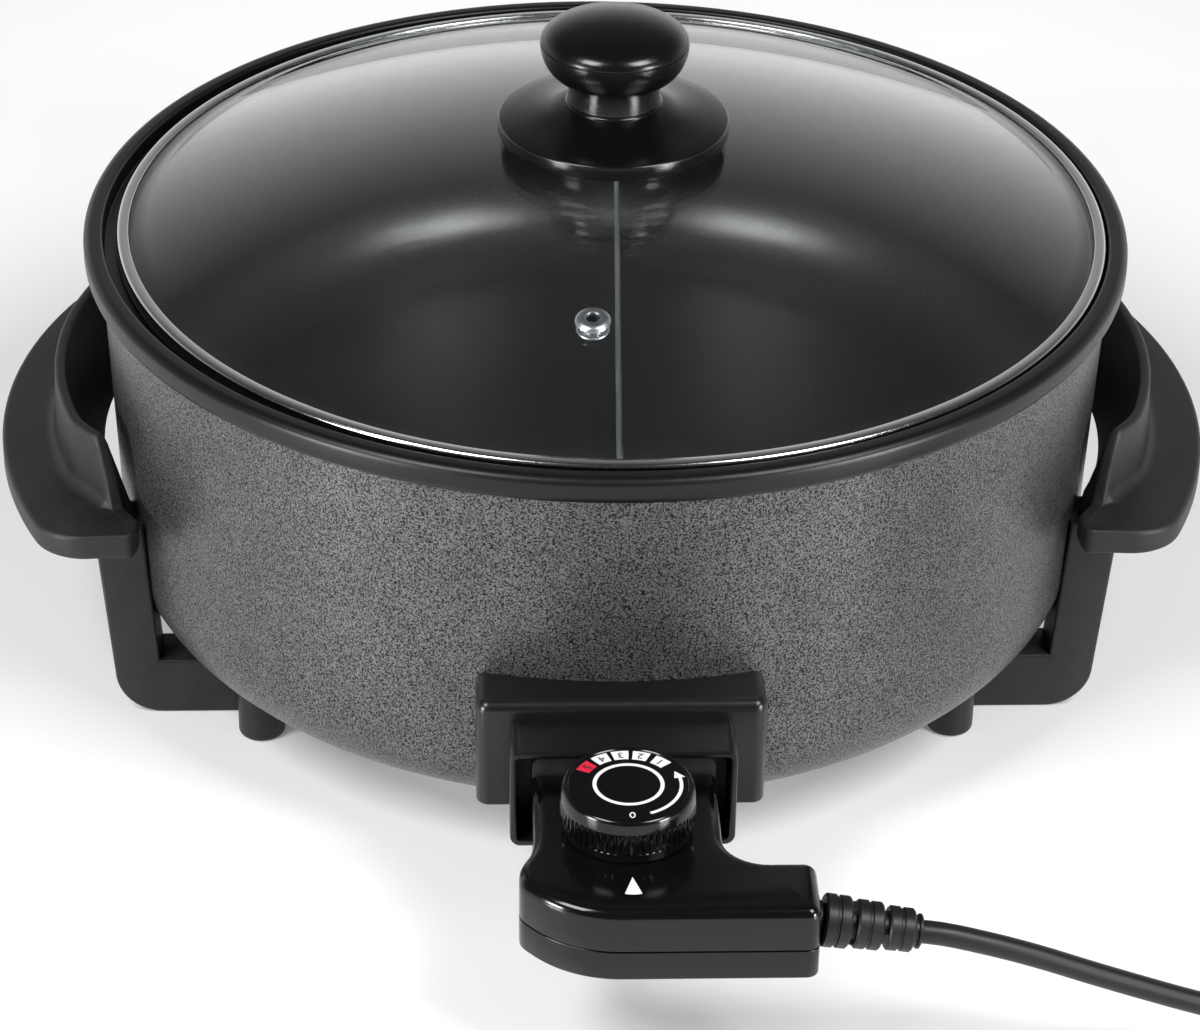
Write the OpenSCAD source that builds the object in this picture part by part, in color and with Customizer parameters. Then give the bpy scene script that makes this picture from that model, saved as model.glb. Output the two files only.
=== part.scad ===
// Round electric grill pan: lift-off glass lid, upright divider, plug-in thermostat controller with cord.
// Millimetres, +Z up, the table at z = 0, the controller towards -Y.

/* [Pan] */
// Outer radius of the rim
rim_r = 155; // [150:1:165]
// Width of the rim's top
rim_w = 5.8; // [5:0.2:7]
// Height of the rim band
rim_h = 8; // [7:0.5:10]
// How far the rim stands out past the wall
rim_over = 4.8; // [4:0.2:5.4]
// Height of the pan from its underside to the rim's top
pan_h = 121; // [110:1:135]
// How much the wall's radius shrinks from the rim to the bottom corner
wall_taper = 3; // [1:0.5:5]
// Thickness of the wall
wall_t = 4; // [3:0.2:4.6]
// Thickness of the floor
floor_t = 4.5; // [3.5:0.5:6]
// Thickness of the cooking plate
plate_t = 3.5; // [3:0.5:4]
// Inner corner radius of the cooking plate
plate_corner_r = 28; // [24:1:29]
// Outer radius of the bottom corner
corner_r = 26; // [20:1:30]
// Height of the pan's underside above the table
table_gap = 18.5; // [17:0.5:24]
// Width of the seat that the lid lies on
seat_w = 6.2; // [5.6:0.2:7]

/* [Heater] */
// Radius of the heater's tube
heater_tube_r = 3.2; // [2.6:0.1:3.6]
// How far the heater's ring lies inside the rim
heater_in = 70; // [67:1:85]
// Angle left open at the front of the heater's ring
heater_open = 50; // [40:1:70]
// How far the heater's ends stand out of the pan's wall
heater_out = 8; // [7.5:0.1:9]

/* [Lid] */
// Play between the lid's ring and the rim when the lid is centred
lid_play = 2.2; // [1:0.1:2.6]
// Gap left on the side that the lid leans to
lid_lean_gap = 0.5; // [0.4:0.1:0.9]
// Thickness of the glass
glass_t = 4; // [3:0.2:5]
// Sheet thickness of the steel ring
ring_t = 0.6; // [0.4:0.1:0.8]
// Width of the steel ring's flanges
ring_w = 3.6; // [3:0.2:4.4]
// Rise of the glass from the ring to the middle
lid_rise = 26; // [20:1:34]
// Distance of the vent from the lid's middle
vent_dist = 94; // [60:1:110]
// Angle of the vent, seen from above
vent_turn = -95.4; // [-120:0.2:-60]
// Radius of the vent eyelet's flange
vent_r = 5.1; // [3.6:0.1:6]
// Radius of the vent's hole
vent_hole_r = 1.9; // [1.4:0.1:2.4]

/* [Knob] */
// Radius of the knob's base
knob_base_r = 34; // [28:1:40]
// Gap between the glass and the edge of the knob's base
knob_lift = 3; // [1:0.2:4]
// Height of the base's side
knob_side_h = 4.8; // [4:0.2:7]
// Rise of the base's top from its side to the neck
knob_cone_h = 4.8; // [2:0.2:8]
// Radius of the knob's neck
knob_neck_r = 13.5; // [11:0.5:16]
// Height of the knob's neck
knob_neck_h = 8; // [6:0.5:14]
// Radius of the knob's ball
knob_ball_r = 21.8; // [18:0.2:26]
// Height of the ball below its widest line
knob_ball_low = 11; // [8:0.5:14]
// Height of the ball above its widest line
knob_ball_top = 8; // [6:0.5:14]
// Radius of the knob's screw
knob_screw_r = 2.5; // [2:0.1:3]

/* [Divider] */
// Thickness of the divider plate
div_t = 1.2; // [0.8:0.1:2]
// Height of the divider plate
div_h = 63; // [40:1:63]
// Angle that the divider is turned from the controller's line
div_turn = -1.9; // [-4:0.1:4]
// Angle that the divider leans to the left
div_lean = 2; // [0:0.1:4]
// Distance of the divider's foot from the pan's axis
div_off = 5.7; // [0:0.1:8]
// Gap at each end of the divider to the lid's seat or the wall
div_gap = 1.6; // [1.4:0.1:3]

/* [Socket] */
// Height of the socket's axis above the top of the pan's bottom corner
socket_up = 5.5; // [5:0.5:9]
// Width of the bracket on the wall
bracket_w = 80; // [72:1:90]
// Height of the bracket
bracket_h = 34; // [32:1:38]
// How far the bracket's bottom lies below the socket's axis
bracket_low = 13; // [12:0.5:14]
// Room between the heater's ends and the bracket's front wall
bracket_room = 0.9; // [0.5:0.1:3]
// Wall thickness of the bracket
bracket_t = 3; // [2.4:0.1:3.2]
// Width of the collar
collar_w = 61.8; // [60:0.2:66]
// Height of the collar
collar_h = 31; // [30.5:0.5:33]
// How far the collar's bottom lies below the socket's axis
collar_low = 15; // [14.8:0.1:15.5]
// Depth of the collar
collar_out = 16.2; // [14:0.2:20]
// Wall thickness of the collar
collar_t = 1.9; // [1.5:0.1:2]
// Thickness of the terminal block
terminal_t = 2.6; // [2.4:0.1:3]
// Distance of each terminal pin from the middle
pin_x = 13; // [11:0.5:15]
// Radius of a terminal pin
pin_r = 2; // [1.6:0.1:2.2]
// Distance of each bracket screw from the middle
stud_x = 21; // [19.5:0.5:22]
// Height of the bracket screws above the socket's axis
stud_up = 8; // [6:0.5:9]

/* [Controller] */
// Width of the controller's nose
nose_w = 50; // [48:0.5:52]
// Height of the controller's shells
shell_h = 21.8; // [21.4:0.1:22.4]
// Height of the bottom shell
split_h = 9; // [8:0.2:10]
// Wall thickness of the shells
shell_t = 2.4; // [2:0.1:2.6]
// Distance from the shells' back end to the dial's axis
dial_back = 25.2; // [25:0.2:28]
// Distance from the dial's axis to the controller's front
front_run = 38.1; // [37:0.1:42]
// Depth of the side arm that the cord leaves
arm_d = 22.5; // [21:0.5:23]
// Distance of the arm's end from the middle
arm_x = 49; // [47:0.5:56]
// Distance of the body's left side from the middle
body_left = 29; // [27:0.5:30.5]
// Radius of the body's large front corner
front_corner_r = 31; // [29:0.5:34]
// Radius of the hollow curve where the nose meets the arm
flare_r = 12; // [8:0.5:13]
// Length of the plug block that enters the socket
plug_len = 11.3; // [10:0.1:12]
// Radius of the sensing probe
probe_r = 3; // [2.4:0.1:3.2]

/* [Dial] */
// Radius of the dial
dial_r = 18.1; // [16:0.1:20]
// Height of the dial above the controller
dial_h = 13.8; // [11:0.2:17]
// Height of the narrower ring at the dial's foot
dial_foot_h = 3.4; // [2.6:0.2:4.4]
// Number of grooves around the dial's skirt
dial_grooves = 60; // [36:1:72]
// Radius of the dial's shaft
shaft_r = 3; // [2.4:0.1:3.4]

/* [Handles] */
// How far a handle stands out past the rim
handle_reach = 28; // [26:0.1:31]
// Radius of a handle's outer curve
handle_arc_r = 162.5; // [155:0.5:170]
// Distance of a handle's ends from its middle
handle_end = 73.8; // [71:0.2:76]
// Corner radius at each end of a handle
handle_end_r = 8; // [6:0.5:9]
// Distance of a handle's toes, beside the wall, from the pan's axis
handle_toe = 138.2; // [137:0.1:140]
// Corner radius of a handle's toes
handle_toe_r = 5; // [3:0.5:6]
// Width of a handle's shelf at the middle
shelf_w = 20; // [18:0.1:21]
// Radius of a handle's finger opening at the guard's top
finger_arc_r = 86; // [82:0.5:90]
// Radius of the finger opening at the shelf's underside
finger_low_r = 77.8; // [76.5:0.1:82]
// Height of the shelf's top above the table
shelf_z = 71.3; // [69:0.1:74]
// Thickness of the shelf
shelf_t = 7.8; // [6.5:0.1:9]
// Thickness of the upright guard
guard_t = 4; // [3:0.1:5]
// Height of the guard above the shelf
guard_h = 19.7; // [14:0.1:24]
// Half length of the guard's level top
guard_flat = 46; // [40:1:50]
// Half length of the guard
guard_half = 61; // [59:1:63]

/* [Legs] */
// Distance of the legs' outer faces from the middle
leg_face = 58; // [56:0.5:59]
// Depth of a leg
leg_d = 16; // [12:0.5:17]
// Width of a leg's upright
leg_w = 14.7; // [13:0.1:17]
// How far a leg's inner edge lies inside the rim, at the table
leg_in = 21.8; // [19:0.2:24]
// Angle that the upright leans outwards
leg_lean = 3.6; // [2:0.1:5]
// Outer bottom corner radius of a leg
leg_corner_r = 14; // [10:0.5:14]
// How far the bar's inner end lies inside the rim
bar_in = 63; // [61:0.5:65]
// Radius of the peg that joins a leg to its handle
peg_r = 3; // [2:0.1:3.4]
// Radius of a leg screw
leg_screw_r = 2; // [1.5:0.1:2.2]
// Radius of a foot
foot_r = 7; // [6:0.1:8]
// How far a foot's middle lies inside the rim, sideways
foot_in = 51.2; // [49:0.2:55]
// Gap between a foot and the leg's face
foot_gap = 2.7; // [1:0.1:4]

/* [Cord] */
// Radius of the cord
cord_r = 3.15; // [2.8:0.05:3.15]
// Length of the strain relief
relief_len = 27.5; // [24:0.5:32]
// Radius of the strain relief at its root
relief_r = 7.1; // [6.4:0.1:8]
// Angle that the strain relief droops
relief_droop = 9.3; // [6:0.1:12]
// Number of loops in the coil
coil_loops = 4; // [4:4]
// Outer radius of the coil's centre line
coil_r = 42; // [40:1:50]
// Step between neighbouring loops
coil_step = 7; // [7:0.1:8]
// Radius of the plug's body
plug_r = 18; // [18:0.5:20]
// Length of the plug's body
plug_body_len = 34; // [30:1:44]
// Length of the plug's pins
plug_pin_len = 19; // [17:0.5:20]

/* [Hidden] */
$fn = 64;
// Small gap between pieces of one body that are fitted together
fit_gap = 0.1;
// Radial clearance of a shaft that turns in its bore
run_gap = 0.05;
// Gap between pieces that slide past each other
slide_gap = 0.4;

// Pan
under_z = table_gap;
rim_z = table_gap + pan_h;
rim_in = rim_r - rim_w;
wall_top_r = rim_r - rim_over;
wall_low_r = wall_top_r - wall_taper;
wall_low_z = under_z + corner_r;
wall_top_z = rim_z - rim_h;
flat_r = wall_low_r - corner_r;
floor_z = under_z + floor_t;
inner_corner_r = corner_r - wall_t;
ring_h = glass_t + 2 * ring_t;
seat_z = rim_z - ring_h;
seat_r = rim_in - seat_w;
seat_lip = 3;
function wall_r(z) = wall_low_r + wall_taper * (z - wall_low_z) / (wall_top_z - wall_low_z);

// Heater
heater_gap = 0.3;
heater_ring_r = rim_r - heater_in;
socket_z = wall_low_z + socket_up;
heater_end_y = wall_low_r + heater_out;

// Cooking plate
plate_gap = 0.3;
plate_edge = 0.8;
plate_z = socket_z + heater_tube_r + heater_gap;
cook_z = plate_z + plate_t;

// Clips
clip_t = 1.2;
clip_w = 10;
clip_gap = 0.5;
clip_half = heater_tube_r + clip_gap + clip_t;
clip_foot = 5;

// Lid
lid_r = rim_in - lid_play;
lid_off = lid_play - lid_lean_gap;
glass_r = lid_r - ring_t - run_gap;
dome_edge_r = lid_r - ring_w - 0.6;
glass_low_z = seat_z + ring_t;
glass_edge_z = glass_low_z + glass_t;
dome_r = (dome_edge_r * dome_edge_r + lid_rise * lid_rise) / (2 * lid_rise);
dome_c = glass_edge_z + lid_rise - dome_r;
dome_in_r = dome_r - glass_t;
dome_in_edge_r = sqrt(dome_in_r * dome_in_r - (glass_low_z - dome_c) * (glass_low_z - dome_c));
vent_tilt = asin(vent_dist / dome_r);
vent_neck_r = vent_hole_r + 1;
function dome_z(r) = dome_c + sqrt(dome_r * dome_r - r * r);
function dome_in_z(r) = dome_c + sqrt(dome_in_r * dome_in_r - r * r);

// Knob
knob_gap = 0.2;
knob_edge_z = dome_z(knob_base_r) + knob_gap;
knob_side_z = knob_edge_z + knob_lift + knob_side_h;
knob_neck_z = knob_side_z + knob_cone_h;
knob_foot_r = knob_neck_r + 0.8;
knob_ball_z = knob_neck_z + knob_neck_h;
knob_mid_z = knob_ball_z + knob_ball_low;
knob_bore = 16;
knob_hole_r = knob_screw_r + 0.5;
seal_t = 1.6;
seal_r = 10;
washer_t = 1.2;
seal_z = dome_in_z(seal_r) - 0.05 - seal_t;
knob_head_r = 5;
knob_head_h = 2.5;

// Divider
div_half = min(seat_r, wall_low_r - wall_t) - div_gap;
div_corner_r = plate_corner_r + 1;
div_top_r = 4;

// Socket, measured along -Y from the pan's axis
bracket_y = heater_end_y + bracket_room + bracket_t;
bracket_z = socket_z - bracket_low;
collar_y = bracket_y + collar_out;
collar_z = socket_z - collar_low;
terminal_y = bracket_y + terminal_t;
plug_back_y = terminal_y + 0.8;
shell_back_y = plug_back_y + plug_len;
pin_end_y = plug_back_y + 8;
earth_up = 10;
earth_half = 3.5;
earth_t = 1;
earth_z = socket_z + earth_up - earth_t / 2;
screw_r = 1.5;
screw_head_r = 2.8;
screw_head_h = 1.5;
stud_r = 3;
stud_z = socket_z + stud_up;
stud_end_y = bracket_y - bracket_t;
sleeve_in_r = probe_r + slide_gap;
sleeve_r = sleeve_in_r + 0.9;

// Controller, measured along -Y from the pan's axis
dial_y = shell_back_y + dial_back;
front_y = dial_y + front_run;
arm_y = front_y - arm_d;
shell_z = collar_z + collar_t + 0.3;
shell_top = shell_z + shell_h;
split_z = shell_z + split_h;
corner_run = 15;
corner_cx = -body_left + sqrt(front_corner_r * front_corner_r - pow(front_corner_r - corner_run, 2));
left_flare_r = 3.5;
relief_y = front_y - arm_d / 2;
relief_z = shell_z + shell_h / 2;
plug_half = nose_w / 2 - fit_gap;
plug_z = collar_z + collar_t + 1;
plug_h = collar_h - 2 * collar_t - 2;
plug_round = 3;
tongue_len = 9;
tongue_half = nose_w / 2 - shell_t - fit_gap;
contact_r = pin_r + 1;
contact_out = 1.2;
wire_room = 8.6;
thermo_half = nose_w / 2 - shell_t - wire_room;
thermo_back = 13;
thermo_front = 13;
thermo_h = 8;
thermo_z = shell_z + shell_t;
thermo_top = thermo_z + thermo_h;
boss_r = 3.2;
shell_screw_r = 1.3;
shell_head_r = 2.6;
shell_head_h = 1.5;
shell_screws_at = [[-18, -(front_y - 14)], [arm_x - 19, -(front_y - 6)]];
dial_lift = 0.3;
dial_top = shell_top + dial_h;
cam_z = thermo_top + 2.6;
wire_r = 1;
wire_step = 2.5;
wire_lane = 2.3;
wire_gap = 0.3;
wire_z = thermo_z + thermo_h / 2;
wire_stop_y = 3 - dial_y - thermo_front;

// Handles and legs
handle_c = rim_r + handle_reach - handle_arc_r;
finger_c = rim_r + handle_reach - shelf_w - finger_arc_r;
shelf_low = shelf_z - shelf_t;
// Where the finger opening ends in the shelf, so that a solid pad lies over each leg
pad_y = leg_face - leg_d - 1;
leg_x = rim_r - leg_in;
bar_end = rim_r - bar_in;
leg_top_x = leg_x + shelf_low * tan(leg_lean);
peg_h = 4;
peg_x = leg_top_x + leg_w / 2 + 0.5;
leg_mid_y = leg_face - leg_d / 2;
leg_screw_x = bar_end + 8;
leg_screw_in = 2.5;
leg_head_r = leg_screw_r * 2;
leg_head_h = 3;
foot_x = rim_r - foot_in;
foot_y = leg_face + foot_r + foot_gap;
foot_round = 1.5;

// Cord: hand-placed points, from the strain relief to the coil and from the coil to the plug
relief_end = [arm_x + relief_len * cos(relief_droop), -relief_y, relief_z - relief_len * sin(relief_droop)];
relief_way = [cos(relief_droop), 0, -sin(relief_droop)];
relief_core_r = cord_r + 1.1;
relief_neck_r = 5;
relief_flange_r = 6.4;
relief_flange_t = 2.5;
coil_rise = 2 * cord_r + 0.7;
tie_gap = 0.5;
tie_t = 1;
tie_w = 11;
tie_half = coil_rise / 2 + cord_r + tie_gap;
tie_round = 2;
coil_z = tie_half + tie_t - coil_rise / 2;
coil_x = 242;
coil_lane = -226;
coil_c = [coil_x, coil_lane + coil_r];
coil_rings = 24;
stub = 2 * cord_r + 2;
lead_way = [[92, -226, 40.2], [107, -226, 35.4], [122, -226, 29.7], [137, -226, 24.2], [152, -226, 19],
    [167, -226, 14.4], [182, -226, 10.2], [197, -226, 7], [211, -226, 5.2]];
tail_way = [[270, -226, 12.3], [284, -226, 13.9], [298, -226, 16.1], [310, -226, 17.6], [319, -226, 18]];
plug_x = 326;
plug_neck_len = 14;
coil_start = [coil_x - stub, coil_lane, coil_z];
coil_end = [coil_x + stub, coil_lane, coil_z + coil_rise];

// The object's origin is under the middle of its box, so the pan's axis lies behind it
pan_y = (front_y - rim_r) / 2;

// Points on an arc, for outlines
function arc(c, r, a0, a1, n) =
    [for (i = [0 : n]) c + r * [cos(a0 + (a1 - a0) * i / n), sin(a0 + (a1 - a0) * i / n)]];

// Value that eases from 0 to 1
function ease(t) = (1 - cos(180 * min(1, max(0, t)))) / 2;

function unit(v) = v / norm(v);

// Direction of a route at one of its points
function heading(p, i) = unit(p[min(i + 1, len(p) - 1)] - p[max(i - 1, 0)]);

// Ring of points square to a direction that is never upright
function ring(c, t, r, n) =
    let (s = unit(cross(t, [0, 0, 1])), u = cross(s, t))
    [for (k = [0 : n - 1]) c + r * (cos(360 * k / n) * s + sin(360 * k / n) * u)];

// Round tube along a route, in triangles
module tube(p, r, n) {
    m = len(p);
    points = [for (i = [0 : m - 1]) each ring(p[i], heading(p, i), r, n)];
    sides = [for (i = [0 : m - 2], k = [0 : n - 1])
        let (a = i * n + k, b = i * n + (k + 1) % n)
        each [[a, b, a + n], [b, b + n, a + n]]];
    first = [for (k = [1 : n - 2]) [0, k + 1, k]];
    last = [for (k = [1 : n - 2]) [(m - 1) * n, (m - 1) * n + k, (m - 1) * n + k + 1]];
    polyhedron(points, concat(sides, first, last));
}

// Round rod along -Y, its near end at y, centred on x and z
module rod_y(x, y, z, len, r) {
    translate([x, -y, z])
        rotate([90, 0, 0])
            cylinder(h = len, r = r);
}

module at_pan() {
    translate([0, pan_y, 0])
        children();
}

module at_lid() {
    translate([lid_off, pan_y, 0])
        children();
}

// Solid shape of the pan's outside up to the rim, grown by a gap
module pan_blank(gap) {
    rotate_extrude($fn = 180)
        polygon(concat(
            [[0, under_z - gap]],
            arc([flat_r, wall_low_z], corner_r + gap, -90, 0, 14),
            [[wall_top_r + gap, wall_top_z], [0, wall_top_z]]));
}

module pan_bowl() {
    lip_z = seat_z - seat_lip - (wall_r(seat_z) - wall_t - seat_r);
    low_in_r = wall_r(floor_z + inner_corner_r) - wall_t;
    color("#3a3c3e")
        at_pan()
            difference() {
                rotate_extrude($fn = 180)
                    polygon(concat(
                        [[0, under_z]],
                        arc([flat_r, wall_low_z], corner_r, -90, 0, 14),
                        [[wall_top_r, wall_top_z]],
                        arc([rim_r - 2.5, wall_top_z + 2.5], 2.5, -90, 0, 5),
                        arc([rim_r - 2.5, rim_z - 2.5], 2.5, 0, 90, 5),
                        arc([rim_in + 1.2, rim_z - 1.2], 1.2, 90, 180, 4),
                        [[rim_in, seat_z], [seat_r, seat_z], [seat_r, seat_z - seat_lip]],
                        [[wall_r(lip_z) - wall_t, lip_z]],
                        arc([low_in_r - inner_corner_r, floor_z + inner_corner_r],
                            inner_corner_r, 0, -90, 12),
                        [[0, floor_z]]));
                for (x = [-1, 1], y = [-1, 1])
                    translate([x * leg_screw_x, y * leg_mid_y, under_z - 1])
                        cylinder(h = leg_screw_in + 1.2, r = leg_screw_r + fit_gap);
                for (s = [-1, 1])
                    rod_y(s * pin_x, wall_low_r - 12, socket_z, 24, heater_tube_r + plate_gap);
            }
}

// Floor that the food lies on, a shallow dish set into the bowl with the heater under it
module cooking_plate() {
    mid_z = cook_z + plate_corner_r;
    edge_r = wall_r(mid_z) - wall_t - plate_gap;
    mid_r = edge_r - plate_edge - plate_corner_r;
    out_r = plate_corner_r + plate_t;
    color("#1d1e20")
        at_pan()
            rotate_extrude($fn = 180)
                polygon(concat(
                    [[0, plate_z]],
                    arc([mid_r, mid_z], out_r, -90, -acos(plate_corner_r / out_r), 10),
                    [[edge_r, mid_z]],
                    arc([mid_r, mid_z], plate_corner_r, 0, -90, 12),
                    [[0, cook_z]]));
}

// Route of one heater end, from its pin to the ring; side is 1 on the right and -1 on the left
function heater_leg(side) =
    let (x = side * pin_x)
    [[x, -heater_end_y, socket_z], [x, -flat_r, socket_z]];

heater_path =
    let (a = heater_open / 2, right = heater_leg(1), left = heater_leg(-1))
    concat(
        right,
        [for (p = arc([0, 0], heater_ring_r, a - 90, 270 - a, 36)) [p[0], p[1], socket_z]],
        [for (i = [len(left) - 1 : -1 : 0]) left[i]]);

module heating_element() {
    color("#8a8f94")
        at_pan()
            tube(heater_path, heater_tube_r, 12);
}

module element_clips() {
    color("#b9bdc0")
        at_pan()
            for (a = [90, 210, 330])
                rotate([0, 0, a])
                    translate([heater_ring_r, 0, 0]) {
                        low = socket_z - heater_tube_r - clip_gap / 2 - clip_t;
                        translate([-clip_half, -clip_w / 2, low])
                            cube([2 * clip_half, clip_w, clip_t]);
                        for (s = [0, 1])
                            mirror([s, 0, 0]) {
                                translate([clip_half - clip_t, -clip_w / 2, low])
                                    cube([clip_t, clip_w, plate_z - low]);
                                translate([clip_half - clip_t, -clip_w / 2, plate_z - clip_t])
                                    cube([clip_foot, clip_w, clip_t]);
                            }
                    }
}

module socket_bracket() {
    color("#202123")
        at_pan()
            difference() {
                translate([-bracket_w / 2, -bracket_y, bracket_z])
                    cube([bracket_w, 40, bracket_h]);
                pan_blank(fit_gap);
                translate([bracket_t - bracket_w / 2, bracket_t - bracket_y, bracket_z + bracket_t])
                    cube([bracket_w - 2 * bracket_t, 60, bracket_h - 2 * bracket_t]);
                for (s = [-1, 1]) {
                    rod_y(s * pin_x, bracket_y - 20, socket_z, 30, pin_r + 0.6);
                    rod_y(s * stud_x, bracket_y - 20, stud_z, 30, screw_r + fit_gap);
                }
                rod_y(0, bracket_y - 20, socket_z, 30, sleeve_in_r);
                translate([-earth_half - 0.4, -bracket_y - 5, earth_z - 0.4])
                    cube([2 * earth_half + 0.8, 20, earth_t + 0.8]);
            }
}

module socket_collar() {
    color("#161719")
        at_pan()
            difference() {
                translate([-collar_w / 2, -collar_y, collar_z])
                    cube([collar_w, collar_out, collar_h]);
                translate([collar_t - collar_w / 2, -collar_y - 1, collar_z + collar_t])
                    cube([collar_w - 2 * collar_t, collar_out + 2, collar_h - 2 * collar_t]);
            }
}

module terminal_block() {
    block_in = collar_t + fit_gap;
    color("#1d1e20")
        at_pan()
            difference() {
                translate([block_in - collar_w / 2, -terminal_y, collar_z + block_in])
                    cube([collar_w - 2 * block_in, terminal_t, collar_h - 2 * block_in]);
                for (s = [-1, 1]) {
                    rod_y(s * pin_x, bracket_y - 2, socket_z, terminal_t + 4, pin_r + fit_gap);
                    rod_y(s * stud_x, bracket_y - 2, stud_z, terminal_t + 4, screw_r + fit_gap);
                    rod_y(s * stud_x, terminal_y - screw_head_h - fit_gap, stud_z, 5,
                        screw_head_r + fit_gap);
                }
                rod_y(0, bracket_y - 2, socket_z, terminal_t + 4, sleeve_in_r);
                translate([-earth_half - fit_gap, -terminal_y - 1, earth_z - fit_gap])
                    cube([2 * (earth_half + fit_gap), terminal_t + 2, earth_t + 2 * fit_gap]);
            }
}

module terminal_pins() {
    color("#c8ccd0")
        at_pan()
            for (s = [-1, 1]) {
                rod_y(s * pin_x, heater_end_y, socket_z, pin_end_y - pin_r - heater_end_y, pin_r);
                translate([s * pin_x, pin_r - pin_end_y, socket_z])
                    sphere(pin_r);
            }
}

module earth_blade() {
    color("#c8b070")
        at_pan()
            difference() {
                translate([-earth_half, -pin_end_y, earth_z])
                    cube([2 * earth_half, pin_end_y - wall_low_r + 10, earth_t]);
                pan_blank(run_gap);
            }
}

module probe_sleeve() {
    color("#9da1a5")
        at_pan()
            difference() {
                rod_y(0, wall_low_r - 10, socket_z, stud_end_y - wall_low_r + 10, sleeve_r);
                rod_y(0, wall_low_r - 11, socket_z, bracket_y, sleeve_in_r);
                pan_blank(run_gap);
            }
}

module weld_studs() {
    color("#9da1a5")
        at_pan()
            for (s = [-1, 1])
                difference() {
                    rod_y(s * stud_x, wall_low_r - 20, stud_z, stud_end_y - wall_low_r + 20, stud_r);
                    rod_y(s * stud_x, stud_end_y - 6, stud_z, 10, screw_r + fit_gap);
                    pan_blank(run_gap);
                }
}

module bracket_screws() {
    head_y = terminal_y - screw_head_h - run_gap;
    color("#b9bdc0")
        at_pan()
            for (s = [-1, 1]) {
                rod_y(s * stud_x, stud_end_y - 5, stud_z, head_y - stud_end_y + 5, screw_r);
                difference() {
                    rod_y(s * stud_x, head_y, stud_z, screw_head_h, screw_head_r);
                    translate([s * stud_x - 0.4, -terminal_y - 1, stud_z - screw_head_r])
                        cube([0.8, 1.8, 2 * screw_head_r]);
                }
            }
}

// Half of a handle's outline, from the wall to the middle of its outer curve
function handle_half() =
    let (in_r = handle_arc_r - handle_end_r,
        a = asin((handle_end - handle_end_r) / in_r),
        corner = [handle_c + in_r * cos(a), -in_r * sin(a)])
    concat(
        [[handle_toe - 10, -leg_face - 1.5], [handle_toe, -leg_face - 2.5]],
        arc([handle_toe + handle_toe_r, handle_toe_r - handle_end + 1], handle_toe_r, -180, -92, 6),
        arc(corner, handle_end_r, -92, -a, 8),
        arc([handle_c, 0], handle_arc_r, -a, 0, 12));

function mirrored(p) = [for (i = [len(p) - 2 : -1 : 0]) [p[i][0], -p[i][1]]];

// Outline of the guard, from one end to the other
function guard_line() =
    [for (i = [-20 : 20])
        let (y = guard_half * i / 20)
        [y, shelf_z - 1 + (guard_h + 1) * (1 - ease((abs(y) - guard_flat) / (guard_half - guard_flat)))]];

// The finger opening, wider toward the top, past both faces of the handle
module finger_cone() {
    slope = (finger_arc_r - finger_low_r) / (shelf_t + guard_h);
    translate([finger_c, 0, shelf_low - 5])
        cylinder(h = shelf_t + guard_h + 10, r1 = finger_low_r - 5 * slope, r2 = finger_arc_r + 5 * slope, $fn = 120);
}

module handle() {
    difference() {
        union() {
            translate([0, 0, shelf_low])
                linear_extrude(shelf_t)
                    polygon(concat(handle_half(), mirrored(handle_half())));
            intersection() {
                translate([finger_c, 0, shelf_low])
                    cylinder(h = shelf_t + guard_h + 5, r = finger_arc_r + guard_t, $fn = 120);
                translate([finger_c + 20, 0, 0])
                    rotate([90, 0, 90])
                        linear_extrude(80)
                            polygon(concat(
                                [[-guard_half, shelf_z - 2]], guard_line(), [[guard_half, shelf_z - 2]]));
            }
        }
        difference() {
            finger_cone();
            for (s = [-1, 1])
                translate([0, s * (pad_y + rim_r) - rim_r, 0])
                    cube([2 * rim_r, 2 * rim_r, shelf_z]);
        }
        pan_blank(fit_gap);
        for (s = [-1, 1])
            translate([peg_x, s * leg_mid_y, shelf_low - 1])
                cylinder(h = peg_h + 1.2, r = peg_r + fit_gap);
    }
}

module right_handle() {
    color("#1d1e20")
        at_pan()
            handle();
}

module left_handle() {
    color("#1d1e20")
        at_pan()
            mirror([1, 0, 0])
                handle();
}

module leg() {
    difference() {
        union() {
            translate([0, leg_d - leg_face, 0])
                rotate([90, 0, 0])
                    linear_extrude(leg_d)
                        polygon(concat(
                            [[bar_end, 0]],
                            arc([leg_x + leg_w - leg_corner_r, leg_corner_r], leg_corner_r, -90, 0, 8),
                            [[leg_top_x + leg_w, shelf_low], [leg_top_x, shelf_low]],
                            [[leg_x + under_z * tan(leg_lean), under_z], [bar_end, under_z]]));
            translate([peg_x, -leg_mid_y, shelf_low - 1])
                cylinder(h = peg_h + 1, r = peg_r);
        }
        pan_blank(fit_gap);
        translate([leg_screw_x, -leg_mid_y, -1])
            cylinder(h = under_z + 2, r = leg_screw_r + fit_gap);
        translate([leg_screw_x, -leg_mid_y, -1])
            cylinder(h = under_z - 6 + 1, r = leg_head_r + fit_gap);
    }
}

module front_right_leg() {
    color("#1d1e20")
        at_pan()
            leg();
}

module front_left_leg() {
    color("#1d1e20")
        at_pan()
            mirror([1, 0, 0])
                leg();
}

module rear_right_leg() {
    color("#1d1e20")
        at_pan()
            mirror([0, 1, 0])
                leg();
}

module rear_left_leg() {
    color("#1d1e20")
        at_pan()
            rotate([0, 0, 180])
                leg();
}

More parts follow.
